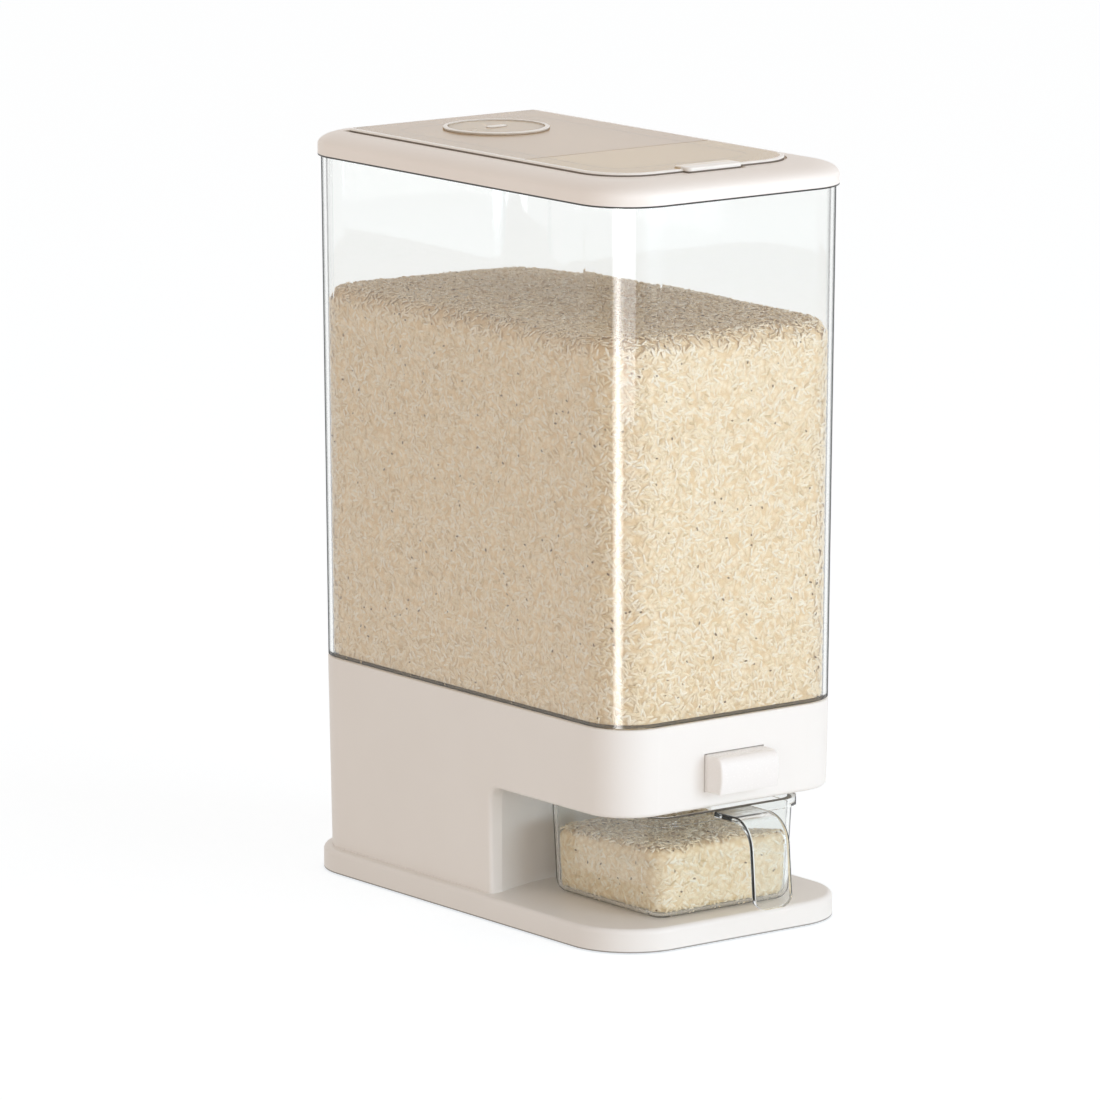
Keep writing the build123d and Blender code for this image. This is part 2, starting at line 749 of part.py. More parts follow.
def collar_half(inset):
    """Half sizes and corner of the collar that stands inside the container's top."""
    low = crease_z - collar_depth
    half_x, half_y, corner = container_at(low, container_wall + seat_gap + seal_reach + inset)
    return (half_x, half_y, corner)


def collar_ring(outer_inset, inner_inset, low, high):
    ring = block(*collar_half(outer_inset), low, high)
    return ring - block(*collar_half(inner_inset), low - 1, high + 1)


def make_lid_seal():
    low = crease_z - collar_depth + 1.5
    return collar_ring(seal_gap - seal_reach - seat_gap, 0.0, low, low + 3.0)


# Lid panel: the flap, with its plug, hinge barrels and finger tab
def panel_outline():
    return lid_outline(panel_half_width, panel_front, panel_rear, panel_corner, panel_rear_corner)


def plug_ring(outer_inset, inner_inset, low, high):
    ring = fill_opening(low, high, -outer_inset)
    return ring - fill_opening(low - 1, high + 1, -inner_inset)


def make_lid_panel():
    panel = lid_plate(panel_outline(), panel_bottom, panel_top)
    panel = fillet(panel.faces().sort_by(Axis.Z)[-1].edges(), panel_edge_round)
    half_tab = tab_width / 2
    tab = lid_plate(lid_outline(half_tab, panel_front - tab_reach, panel_front + tab_length, 3.0, 1.5),
                    panel_bottom - tab_drop, panel_top + tab_rise)
    tab = fillet(tab.faces().sort_by(Axis.Z)[-1].edges(), panel_edge_round)
    panel += tab - box((-plate_width, plate_width), (panel_front + 1, 0), (0, panel_bottom))
    score = panel_front + score_from_front
    panel -= box((-plate_width, plate_width), (score, score + score_width),
                 (panel_top - score_depth, panel_top + 1))
    plug_inset = seal_gap + plug_seal_width
    panel += plug_ring(plug_inset, plug_inset + plug_wall, panel_bottom - plug_depth, panel_bottom)
    for side in (-1, 1):
        low, high = sorted((side * (barrel_end - barrel_length), side * barrel_end))
        panel += rod_along_x(low, high, hinge_y, hinge_z, barrel_radius)
        panel += box((low, high), (hinge_y - barrel_radius, hinge_y + barrel_radius),
                     (hinge_z, panel_bottom + 1))
        panel -= rod_along_x(low - 1, high + 1, hinge_y, hinge_z, pin_radius + close_fit)
    panel -= post(0, chamber_y, panel_bottom - 1, panel_top + 1, chamber_radius + seat_gap)
    return panel


def make_panel_seal():
    plug_inset = seal_gap + plug_seal_width
    low = panel_bottom - plug_depth + 1.0
    return plug_ring(seal_gap, plug_inset - close_fit, low, low + 3.0)


def make_hinge_pins():
    pins = []
    for side in (-1, 1):
        low, high = sorted((side * (pin_end - pin_length), side * pin_end))
        pin = rod_along_x(low, high, hinge_y, hinge_z, pin_radius)
        pins.append(chamfer(pin.edges().filter_by(GeomType.CIRCLE), pin_radius / 4))
    return pins


# Desiccant chamber under the panel and the cap that turns in it
def make_desiccant_cup():
    low = panel_top - chamber_depth
    cup = post(0, chamber_y, low, panel_top, chamber_radius)
    cup = fillet(cup.faces().sort_by(Axis.Z)[0].edges(), chamber_wall)
    flange_low = panel_bottom - chamber_flange_thickness
    cup += post(0, chamber_y, flange_low, panel_bottom, chamber_radius + chamber_flange)
    bore = chamber_radius - chamber_wall
    cup -= post(0, chamber_y, low + chamber_wall, panel_top + 1, bore)
    cup -= post(0, chamber_y, lug_low - seat_gap, lug_low + lug_height + seat_gap,
                bore + cap_lug_reach + seat_gap)
    cup -= post(0, chamber_y, cap_bottom - cap_seal_height, panel_top + 1,
                bore - seat_gap + cap_seal_width + 2 * close_fit)
    reach = bore + cap_lug_reach + seat_gap
    entry = box((-reach, reach), (-lug_width / 2 - 1, lug_width / 2 + 1), (lug_low, panel_top + 1))
    cup -= Pos(0, chamber_y, 0) * Rot(0, 0, cap_turn) * entry
    for place in PolarLocations(bore * 0.6, 8):
        vent = Pos(0, chamber_y, low + chamber_wall / 2) * place * Box(8, 1.6, chamber_wall * 2)
        cup -= vent
    return cup


def make_desiccant_cap():
    cap = post(0, chamber_y, cap_bottom, cap_top, cap_radius)
    cap = fillet(cap.faces().sort_by(Axis.Z)[-1].edges(), cap_thickness * 0.6)
    cap -= post(0, chamber_y, cap_top - cap_dish, cap_top + 1, cap_radius - cap_ring_width)
    plug = chamber_radius - chamber_wall - seat_gap
    plug_low = cap_bottom - cap_plug_depth
    skirt = post(0, chamber_y, plug_low, cap_bottom + 0.2, plug)
    skirt -= post(0, chamber_y, plug_low - 1, cap_bottom + 1, plug - cap_plug_wall)
    cap += skirt
    lug_inner = plug - cap_plug_wall / 2
    for side in (-1, 1):
        low, high = sorted((side * lug_inner, side * (plug + cap_lug_reach)))
        lug = box((low, high), (chamber_y - lug_width / 2, chamber_y + lug_width / 2),
                  (lug_low, lug_low + lug_height))
        cap += lug & post(0, chamber_y, plug_low, cap_bottom, plug + cap_lug_reach)
    grip = Pos(0, chamber_y, cap_top - cap_dish) * SlotOverall(grip_length, grip_width)
    grip = extrude(grip, amount=cap_dish)
    grip = fillet(grip.faces().sort_by(Axis.Z)[-1].edges(), cap_dish / 2)
    return cap + grip


def make_cap_seal():
    inner = chamber_radius - chamber_wall - seat_gap + close_fit
    low = cap_bottom - cap_seal_height
    ring = post(0, chamber_y, low, cap_bottom, inner + cap_seal_width)
    return ring - post(0, chamber_y, low - 1, cap_bottom + 1, inner)


# Measuring cup: drafted, with a rim lip and a hook handle
def cup_section(z, inset=0.0):
    share = (cup_top - z) / cup_height
    shrink = cup_draft * share + inset
    half_y = (cup_rear - cup_front) / 2
    middle = (cup_rear + cup_front) / 2
    return rounded(cup_half_width - shrink, half_y - shrink, cup_corner - shrink, z, middle).face()


def cup_body(low, high, inset, foot_round):
    body = loft([cup_section(low, inset), cup_section(high, inset)], ruled=True)
    return fillet(body.faces().sort_by(Axis.Z)[0].edges(), foot_round)


def make_measuring_cup():
    cup = cup_body(cup_bottom, cup_top, 0.0, cup_foot_round)
    cup += extrude(cup_section(cup_top, -cup_lip_reach), amount=-cup_lip_height)
    cup += make_handle()
    space = loft([cup_section(cup_bottom + cup_wall, cup_wall), cup_section(cup_top + 1, cup_wall)],
                 ruled=True)
    cup -= fillet(space.faces().sort_by(Axis.Z)[0].edges(), cup_foot_round - cup_wall)
    return cup


def make_handle():
    """A wide strap that leaves the lip, bends down and ends in a rounded tip."""
    half = handle_thickness / 2
    z = cup_top - half
    root, tip = cup_front + cup_wall / 2, front_reach + half
    line = FilletPolyline((root, z), (tip + handle_lean, z), (tip, z - handle_drop), radius=handle_bend)
    path = Plane.YZ * line
    section = Plane(path @ 0, x_dir=(1, 0, 0), z_dir=path % 0)
    strap = sweep(section * RectangleRounded(handle_width, handle_thickness, handle_thickness / 3), path=path)
    low = z - handle_drop
    outline = Pos(0, (low + cup_top + 5) / 2) * Rectangle(handle_width + 1, cup_top + 5 - low)
    outline = fillet(outline.vertices().group_by(Axis.Y)[0], handle_tip_round)
    return strap & extrude(Plane.XZ * outline, amount=plate_length, both=True)


if __name__ == "__main__":
    os.makedirs("parts", exist_ok=True)
    save("base_plate", make_base_plate())
    save("rubber_feet", *make_rubber_feet())
    save("base_screws", *make_base_screws())
    save("lower_housing", make_lower_housing())
    save("spring_rods", *make_rods())
    save("return_springs", *[make_spring(x) for x in rod_places()])
    save("container", make_container())
    save("hopper", make_hopper())
    save("hopper_gasket", make_hopper_gasket())
    save("outlet_seal", make_outlet_seal())
    save("gate_slide", make_gate_slide())
    save("push_button", make_push_button())
    save("button_screws", *make_button_screws())
    save("lid_frame", make_lid_frame())
    save("lid_seal", make_lid_seal())
    save("lid_panel", make_lid_panel())
    save("panel_seal", make_panel_seal())
    save("hinge_pins", *make_hinge_pins())
    save("desiccant_cup", make_desiccant_cup())
    save("desiccant_cap", make_desiccant_cap())
    save("cap_seal", make_cap_seal())
    save("measuring_cup", make_measuring_cup())
    print("frame moved along Y by", round(frame_y, 3), "overall height", round(cap_top, 2))
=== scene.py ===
# %% [markdown]
# # A rice dispenser in clear and white plastic
#
# The real object is a kitchen bin that stands on a white base. A clear box holds the rice, a button on the
# front lets some of it fall into a clear cup, and a lid with a hinged flap closes the top. The shapes of
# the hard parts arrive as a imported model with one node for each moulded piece. This file adds what that
# model has no use for: finishes, the rice itself, light and a camera.

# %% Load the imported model
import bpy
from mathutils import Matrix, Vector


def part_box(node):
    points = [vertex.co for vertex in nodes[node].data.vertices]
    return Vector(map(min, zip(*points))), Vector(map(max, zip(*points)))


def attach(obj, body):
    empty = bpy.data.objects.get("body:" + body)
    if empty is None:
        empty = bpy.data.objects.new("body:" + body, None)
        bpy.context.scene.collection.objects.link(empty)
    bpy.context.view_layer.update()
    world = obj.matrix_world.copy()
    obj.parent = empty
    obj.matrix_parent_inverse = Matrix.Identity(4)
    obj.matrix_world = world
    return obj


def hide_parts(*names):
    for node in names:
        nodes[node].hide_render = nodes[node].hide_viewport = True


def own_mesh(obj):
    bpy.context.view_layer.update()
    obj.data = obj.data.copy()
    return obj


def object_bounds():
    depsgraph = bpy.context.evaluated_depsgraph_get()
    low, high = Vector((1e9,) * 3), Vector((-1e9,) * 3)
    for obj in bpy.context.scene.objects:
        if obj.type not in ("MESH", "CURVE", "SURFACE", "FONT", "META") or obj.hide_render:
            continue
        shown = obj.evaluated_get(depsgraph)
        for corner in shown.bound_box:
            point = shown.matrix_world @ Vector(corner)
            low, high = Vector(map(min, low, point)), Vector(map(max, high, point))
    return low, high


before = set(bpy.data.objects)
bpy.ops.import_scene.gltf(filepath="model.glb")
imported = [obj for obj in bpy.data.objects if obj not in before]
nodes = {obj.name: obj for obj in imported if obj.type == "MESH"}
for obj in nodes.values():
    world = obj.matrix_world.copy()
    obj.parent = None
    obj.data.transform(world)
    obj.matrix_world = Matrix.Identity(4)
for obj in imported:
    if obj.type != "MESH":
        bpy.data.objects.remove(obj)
cad_box = [list(corner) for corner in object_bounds()]

import math
import bpy
import numpy as np
from mathutils import Matrix, Vector

print("nodes", len(nodes), "box", cad_box)

# %% [markdown]
# ## Camera
#
# The object is seen from its front left corner, a little from above, with a long lens that keeps its
# upright edges nearly parallel. A camera needs three directions: right, up and back, and they are the
# columns of its matrix. The plan angle and the height above the table were found by fitting the corners of
# the plate and the lid to the picture. The two small offsets move the object to its place in the frame
# without any shift.

# %% Place the camera
MM = 0.001
PLAN_ANGLE = math.radians(-37.5)
RISE = math.radians(10.8)
DISTANCE = 4300 * MM
FOCAL_PIXELS = 7847
IMAGE_PIXELS = 1100
SENSOR_WIDTH = 36
OFFSET_RIGHT, OFFSET_UP = 13.68 * MM, 17.6 * MM
FARTHEST = 50
Y_MIDDLE = sum(corner[1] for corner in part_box("container")) / 2
MIDDLE_HEIGHT = (cad_box[0][2] + cad_box[1][2]) / 2

back = Vector((math.sin(PLAN_ANGLE) * math.cos(RISE), -math.cos(PLAN_ANGLE) * math.cos(RISE), math.sin(RISE)))
right = Vector((math.cos(PLAN_ANGLE), math.sin(PLAN_ANGLE), 0))
up = back.cross(right)
aim = Vector((0, Y_MIDDLE, MIDDLE_HEIGHT)) - OFFSET_RIGHT * right - OFFSET_UP * up

camera_data = bpy.data.cameras.new("camera")
camera_data.sensor_fit = "HORIZONTAL"
camera_data.sensor_width = SENSOR_WIDTH
camera_data.lens = SENSOR_WIDTH * FOCAL_PIXELS / IMAGE_PIXELS
camera_data.clip_end = FARTHEST
camera = bpy.data.objects.new("camera", camera_data)
bpy.context.scene.collection.objects.link(camera)
turn = Matrix((right, up, back)).transposed().to_4x4()
camera.matrix_world = Matrix.Translation(aim + DISTANCE * back) @ turn
bpy.context.scene.camera = camera
bpy.context.scene.view_settings.view_transform = "Standard"
print("lens", round(camera_data.lens, 1), "mm")

# %% [markdown]
# ## Nodes and colours
#
# A material is a small graph. One function adds a node, sets its properties and links its inputs, so a
# material below reads from top to bottom like a recipe. Colours are written as they look on a screen and
# turned into the linear values that a renderer works with.

# %% A node and a colour
def add_node(tree, kind, settings, inputs):
    """Adds a node. An input is a plain value, or the output of another node that is linked to it."""
    node = tree.nodes.new(kind)
    for name, value in settings.items():
        setattr(node, name, value)
    for name, value in inputs.items():
        if isinstance(value, bpy.types.NodeSocket):
            tree.links.new(value, node.inputs[name])
        else:
            node.inputs[name].default_value = value
    return node


def linear(code):
    """An sRGB colour such as "F2EEE8" as linear red, green, blue and alpha."""
    parts = [int(code[i:i + 2], 16) / 255 for i in (0, 2, 4)]
    return [p / 12.92 if p <= 0.04045 else ((p + 0.055) / 1.055) ** 2.4 for p in parts] + [1.0]


def new_material(name):
    """An empty material, and its node tree with an output."""
    material = bpy.data.materials.new(name)
    material.use_nodes = True
    material.node_tree.nodes.clear()
    return material, material.node_tree


print("white plastic in linear light", [round(v, 3) for v in linear("F2EEE8")])

# %% [markdown]
# ## Light
#
# The picture is lit by a large window-like light from the front right, so the front is nearly white and the
# left side is a warm beige. Here one large area lamp is that window, a small low lamp lifts the shade in
# the bay, and the world gives the rest. For rays that light a surface the world is warm and dims towards
# the top. For rays that are seen straight, by reflection or through glass, it is plain white, which makes
# the background white.

# %% World
def eye_sees(tree):
    """1 for rays that reach the eye straight, by reflection or through glass, 0 for rays that carry light."""
    path = add_node(tree, "ShaderNodeLightPath", {}, {})
    seen = add_node(tree, "ShaderNodeMath", {"operation": "MAXIMUM"}, {
        0: path.outputs["Is Camera Ray"], 1: path.outputs["Is Glossy Ray"]})
    return add_node(tree, "ShaderNodeMath", {"operation": "MAXIMUM"}, {
        0: seen.outputs[0], 1: path.outputs["Is Transmission Ray"]}).outputs[0]


AT_HORIZON, OVERHEAD = 0.82, 0.55
world = bpy.data.worlds.new("studio")
world.use_nodes = True
tree = world.node_tree
tree.nodes.clear()
direction = add_node(tree, "ShaderNodeTexCoord", {}, {})
direction = add_node(tree, "ShaderNodeSeparateXYZ", {}, {0: direction.outputs["Generated"]})
sky = add_node(tree, "ShaderNodeMapRange", {}, {
    0: direction.outputs["Z"], 1: 0, 2: 1, 3: AT_HORIZON, 4: OVERHEAD})
fill = add_node(tree, "ShaderNodeBackground", {}, {"Color": linear("FFF4EC"), "Strength": sky.outputs[0]})
white = add_node(tree, "ShaderNodeBackground", {}, {"Color": (1, 1, 1, 1), "Strength": 1.0})
mix = add_node(tree, "ShaderNodeMixShader", {}, {0: eye_sees(tree), 1: fill.outputs[0], 2: white.outputs[0]})
add_node(tree, "ShaderNodeOutputWorld", {}, {"Surface": mix.outputs[0]})
bpy.context.scene.world = world
print("world nodes", len(tree.nodes))

# %% Window and low fill
def area_lamp(name, place, target, size, watts, code):
    """A rectangular area lamp that looks at a target."""
    data = bpy.data.lights.new(name, "AREA")
    data.shape = "RECTANGLE"
    data.size, data.size_y = size
    data.energy = watts
    data.color = linear(code)[:3]
    lamp = bpy.data.objects.new(name, data)
    bpy.context.scene.collection.objects.link(lamp)
    lamp.location = place
    lamp.rotation_euler = (Vector(target) - Vector(place)).to_track_quat("-Z", "Y").to_euler()
    return lamp


WINDOW_PLACE, WINDOW_SIZE, WINDOW_WATTS = (0.75, -2.45, 0.45), (1.6, 1.5), 41
LOW_PLACE, LOW_SIZE, LOW_WATTS, BAY_HEIGHT = (-0.85, -1.25, 0.12), (0.7, 0.2), 2.0, 0.08
window = area_lamp("window", WINDOW_PLACE, (0, 0, MIDDLE_HEIGHT), WINDOW_SIZE, WINDOW_WATTS, "D8ECFF")
window.visible_glossy = False
low_fill = area_lamp("low fill", LOW_PLACE, (0, 0, BAY_HEIGHT), LOW_SIZE, LOW_WATTS, "F4F6FF")
low_fill.visible_glossy = False
print("lamps", [(lamp.name, round(lamp.data.energy, 1)) for lamp in (window, low_fill)])

# %% [markdown]
# ## A line of light on the clear walls
#
# Clear plastic is seen by what it mirrors. A photographer stands a tall white softbox close beside it, so
# that each rounded corner shows it as a bright upright band. This strip is such a softbox. It stands so
# near and so low that the whole height of the corner finds it, and it is linked to the two clear pieces
# alone, so that it adds no gleam to the white plastic. A grid on the softbox keeps its light in a narrow
# cone that leans up towards the eye. Without the grid, a flat wall would mirror the whole lamp to someone
# who walks round it.

# %% Strip for the clear walls
STRIP_PLACE, STRIP_SIZE, STRIP_WATTS, STRIP_CONE = (-0.44, -0.36, 0.18), (0.22, 0.36), 0.07, 26
NEAR_CORNER = (-0.06, -0.12, 0.265)
strip = area_lamp("strip", STRIP_PLACE, NEAR_CORNER, STRIP_SIZE, STRIP_WATTS, "FFFFFF")
strip.data.spread = math.radians(STRIP_CONE)
strip.visible_camera = False
strip.visible_diffuse = False
strip.visible_transmission = False
clear_walls = bpy.data.collections.new("clear walls")
for name in ("container", "measuring_cup"):
    clear_walls.objects.link(nodes[name])
strip.light_linking.receiver_collection = clear_walls

# %% [markdown]
# ## Floor
#
# The floor is a plain sheet of matt paper. For the eye, straight or through the clear walls, half of it is
# its own light, so that it comes out white and keeps the object's soft shadow. That light is a little blue,
# because the warm world tints the other half. For the light that the floor throws back on the object it is
# an ordinary pale surface.

# %% Floor
REACH, OWN_LIGHT, GLOW, GLOW_TINT = 30, 0.50, 1.52, (0.92, 0.965, 1, 1)
floor_mesh = bpy.data.meshes.new("floor")
floor_mesh.from_pydata([(-REACH, -REACH, 0), (REACH, -REACH, 0), (REACH, REACH, 0), (-REACH, REACH, 0)], [],
                       [(0, 1, 2, 3)])
floor = bpy.data.objects.new("floor", floor_mesh)
bpy.context.scene.collection.objects.link(floor)
paper, tree = new_material("white paper sweep, matt")
share = add_node(tree, "ShaderNodeMath", {"operation": "MULTIPLY"}, {0: eye_sees(tree), 1: OWN_LIGHT})
matt = add_node(tree, "ShaderNodeBsdfDiffuse", {}, {"Color": linear("F4F2EF")})
glow = add_node(tree, "ShaderNodeEmission", {}, {"Color": GLOW_TINT, "Strength": GLOW})
mix = add_node(tree, "ShaderNodeMixShader", {}, {0: share.outputs[0], 1: matt.outputs[0], 2: glow.outputs[0]})
add_node(tree, "ShaderNodeOutputMaterial", {}, {"Surface": mix.outputs[0]})
floor_mesh.materials.append(paper)
print("floor", floor.dimensions[:])

# %% [markdown]
# ## Moulded white ABS
#
# The plate, the housing and the button are injection moulded ABS. The mould was spark eroded, which leaves
# a very fine grit on the skin, so the plastic shines softly and never mirrors. The grit is about 0.1 mm on
# the real part. It is drawn as 0.5 mm, because anything finer is lost between two pixels. A slow noise,
# about 60 mm wide, stands for the flow of the melt and shifts colour and shine by a percent or two.

# %% Moulded ABS
FLOW_WIDTH, RELIEF, UNEVEN = 60 * MM, 0.1 * MM, 0.06


def moulded_plastic(name, code, shade_code, rough, grit, bump):
    """Moulded plastic with a fine grit. The shade colour shows where the melt flowed thicker."""
    material, tree = new_material(name)
    place = add_node(tree, "ShaderNodeTexCoord", {}, {}).outputs["Object"]
    flow = add_node(tree, "ShaderNodeTexNoise", {}, {"Vector": place, "Scale": 1 / FLOW_WIDTH, "Detail": 2.0})
    specks = add_node(tree, "ShaderNodeTexNoise", {}, {
        "Vector": place, "Scale": 1 / grit, "Detail": 3.0, "Roughness": 0.6})
    tint = add_node(tree, "ShaderNodeMix", {"data_type": "RGBA"}, {
        0: flow.outputs[0], 6: linear(code), 7: linear(shade_code)})
    shine = add_node(tree, "ShaderNodeMapRange", {}, {
        0: specks.outputs[0], 3: rough - UNEVEN, 4: rough + UNEVEN})
    relief = add_node(tree, "ShaderNodeBump", {}, {
        "Height": specks.outputs[0], "Strength": bump, "Distance": RELIEF})
    skin = add_node(tree, "ShaderNodeBsdfPrincipled", {}, {
        "Base Color": tint.outputs[2], "Roughness": shine.outputs[0], "IOR": 1.53,
        "Normal": relief.outputs[0]})
    add_node(tree, "ShaderNodeOutputMaterial", {}, {"Surface": skin.outputs[0]})
    return material


print("flow marks", FLOW_WIDTH / MM, "mm wide, grit at most", RELIEF / MM, "mm deep")

# %% White pieces
def dress(material, *names):
    """Gives CAD nodes a material, without touching their meshes."""
    for name in names:
        node = nodes[name]
        for slot in node.material_slots:
            slot.link = "OBJECT"
            slot.material = material
    print(material.name, "on", ", ".join(names))


white_abs = moulded_plastic("white ABS, spark eroded mould", "F4F1EC", "EFEBE5", 0.40, 0.5 * MM, 0.25)
button_abs = moulded_plastic("white ABS, polished mould", "F5F2EE", "F1EDE8", 0.26, 0.8 * MM, 0.06)
gate_acetal = moulded_plastic("natural acetal, moulded", "EFECE4", "E8E4DA", 0.30, 0.7 * MM, 0.10)
dress(white_abs, "lower_housing")
dress(button_abs, "push_button")
dress(gate_acetal, "gate_slide", "hopper")

# %% [markdown]
# ## Ivory lid
#
# The lid is a warmer ivory than the base. Its lowest millimetre is the sharp edge that stands over the
# bin's rim. No light comes out of that gap, so the edge reads as a thin dark line all round. The plate has
# such a line too, where it stands on its feet 0.8 mm above the table. Both could be left to the shadow in
# the gap, but a gap is narrower than a pixel here. So the line is drawn as an overlay: the height in the
# object's own coordinates picks out the edge, and another colour is laid over it.

# %% Shares by place
def edge_share(tree, flat=0.5, steep=0.3):
    """1 where a surface stands upright in the object's own coordinates, 0 where it lies flat."""
    facing = add_node(tree, "ShaderNodeTexCoord", {}, {}).outputs["Normal"]
    parts = add_node(tree, "ShaderNodeSeparateXYZ", {}, {0: facing})
    level = add_node(tree, "ShaderNodeMath", {"operation": "ABSOLUTE"}, {0: parts.outputs["Z"]})
    return add_node(tree, "ShaderNodeMapRange", {}, {0: level.outputs[0], 1: flat, 2: steep}).outputs[0]


def height_share(tree, none, full):
    """0 at one height of the object and 1 at another, in millimetres."""
    place = add_node(tree, "ShaderNodeTexCoord", {}, {}).outputs["Object"]
    parts = add_node(tree, "ShaderNodeSeparateXYZ", {}, {0: place})
    share = add_node(tree, "ShaderNodeMapRange", {}, {0: parts.outputs["Z"], 1: none * MM, 2: full * MM})
    return share.outputs[0]


def overlay(tree, share, code):
    """Lays another colour over the base colour of a finished material, by a share."""
    skin = next(node for node in tree.nodes if node.type == "BSDF_PRINCIPLED")
    colour = skin.inputs["Base Color"]
    under = colour.links[0].from_socket if colour.links else colour.default_value[:]
    over = add_node(tree, "ShaderNodeMix", {"data_type": "RGBA"}, {0: share, 6: under, 7: linear(code)})
    tree.links.new(over.outputs[2], colour)


print("overlay colour in linear light", [round(v, 3) for v in linear("33302D")])

# %% Ivory lid and the plate's edge
LID_EDGE, PLATE_EDGE = (403.3, 403.1), (1.6, 1.3)
ivory_abs = moulded_plastic("ivory ABS, satin mould", "FCF6EF", "F7F0E8", 0.34, 0.6 * MM, 0.18)
overlay(ivory_abs.node_tree, height_share(ivory_abs.node_tree, *LID_EDGE), "33302D")
dress(ivory_abs, "lid_frame")
# Painted shade: the plate's white is a little darker than the housing's, though both are the same ABS.
plate_abs = moulded_plastic("white ABS plate, spark eroded mould", "F1EEE9", "ECE8E2", 0.40, 0.5 * MM, 0.25)
overlay(plate_abs.node_tree, height_share(plate_abs.node_tree, *PLATE_EDGE), "8F8A83")
dress(plate_abs, "base_plate")

# %% [markdown]
# ## Clear styrene
#
# The bin and the cup are clear styrene from a polished mould. It bends light like glass but holds a trace
# of grey, which adds up where the eye looks along a wall, so rims, handle and corners get a dark outline.
# Volume absorption would give that too, and slowly. Here the tint follows the angle at which the wall is
# met. A renderer would also need very many samples to find the lamps through such a wall, so for rays that
# only carry light the wall is simply open. The desiccant chamber and its cap are styrene from an etched
# mould, which turns half of their clearness into a milky white. Their upright sides carry a painted
# highlight, and the cap's raised ring and grip are painted near white and let no light through, a painted
# highlight.

# %% Clear plastic
HAZE_WIDTH, EDGE_STARTS, EDGE_DEEPEST, OUTLINE_FULL = 35 * MM, 0.68, 0.90, 0.84


def less_clear(tree, share, clear):
    """Lets less light through a clear material, down to none where the share is 1."""
    skin = next(node for node in tree.nodes if node.type == "BSDF_PRINCIPLED")
    left = add_node(tree, "ShaderNodeMapRange", {}, {0: share, 3: clear, 4: 0.0})
    tree.links.new(left.outputs[0], skin.inputs["Transmission Weight"])


def let_light_through(tree, wall, open_code):
    """Ends a material so that rays that only carry light go straight through, tinted by the open colour."""
    path = add_node(tree, "ShaderNodeLightPath", {}, {})
    carries = add_node(tree, "ShaderNodeMath", {"operation": "MAXIMUM"}, {
        0: path.outputs["Is Shadow Ray"], 1: path.outputs["Is Diffuse Ray"]})
    open_way = add_node(tree, "ShaderNodeBsdfTransparent", {}, {"Color": linear(open_code)})
    mix = add_node(tree, "ShaderNodeMixShader", {}, {
        0: carries.outputs[0], 1: wall.outputs[0], 2: open_way.outputs[0]})
    add_node(tree, "ShaderNodeOutputMaterial", {}, {"Surface": mix.outputs[0]})


def clear_plastic(name, code, edge_code, rough, open_code, clear=1.0):
    """Clear plastic that is darker at its edges and open for rays that only carry light."""
    material, tree = new_material(name)
    place = add_node(tree, "ShaderNodeTexCoord", {}, {}).outputs["Object"]
    haze = add_node(tree, "ShaderNodeTexNoise", {}, {"Vector": place, "Scale": 1 / HAZE_WIDTH, "Detail": 3.0})
    shine = add_node(tree, "ShaderNodeMapRange", {}, {0: haze.outputs[0], 3: rough, 4: rough + 0.03})
    grazing = add_node(tree, "ShaderNodeLayerWeight", {}, {"Blend": 0.5})
    deep = add_node(tree, "ShaderNodeMapRange", {}, {
        0: grazing.outputs["Facing"], 1: EDGE_STARTS, 2: EDGE_DEEPEST})
    tint = add_node(tree, "ShaderNodeMix", {"data_type": "RGBA"}, {
        0: deep.outputs[0], 6: linear(code), 7: linear(edge_code)})
    wall = add_node(tree, "ShaderNodeBsdfPrincipled", {}, {
        "Base Color": tint.outputs[2], "Roughness": shine.outputs[0], "IOR": 1.52, "Specular IOR Level": 0.3,
        "Transmission Weight": clear})
    # Light that comes through the edge is bent away from the eye, so the outermost line is dark.
    turned_away = add_node(tree, "ShaderNodeMapRange", {}, {
        0: grazing.outputs["Facing"], 1: EDGE_STARTS, 2: OUTLINE_FULL, 3: 0, 4: 0.8})
    outline = add_node(tree, "ShaderNodeMath", {"operation": "MULTIPLY"}, {
        0: turned_away.outputs[0], 1: edge_share(tree)})
    dark = add_node(tree, "ShaderNodeBsdfTransparent", {}, {"Color": linear(edge_code)})
    wall = add_node(tree, "ShaderNodeMixShader", {}, {
        0: outline.outputs[0], 1: wall.outputs[0], 2: dark.outputs[0]})
    let_light_through(tree, wall, open_code)
    return material


print("walls darken from", round(math.degrees(math.acos(1 - EDGE_STARTS))), "degrees away from the eye")

# %% Bin, cup and cap
CAP_CLEAR, RING_HEIGHT = 0.5, (417.5, 417.7)
bin_styrene = clear_plastic("clear styrene, polished mould", "FBFCFB", "5F6668", 0.01, "FCFCFB")
cup_styrene = clear_plastic("clear styrene cup, polished mould", "F7F9F8", "5F6668", 0.01, "FAFBFA")
cap_styrene = clear_plastic("frosted styrene, etched mould", "EDE0C8", "E6D7BD", 0.25, "E6DFD4", CAP_CLEAR)
tree = cap_styrene.node_tree
# Painted highlight: the upright sides of the cap and chamber are painted lighter.
overlay(tree, edge_share(tree, 0.92, 0.6), "F6EEE2")
# Painted highlight: the raised ring and grip are painted near white and let no light through.
raised = height_share(tree, *RING_HEIGHT)
overlay(tree, raised, "FFFCF6")
less_clear(tree, raised, CAP_CLEAR)
dress(bin_styrene, "container")
dress(cup_styrene, "measuring_cup")
dress(cap_styrene, "desiccant_cap", "desiccant_cup")
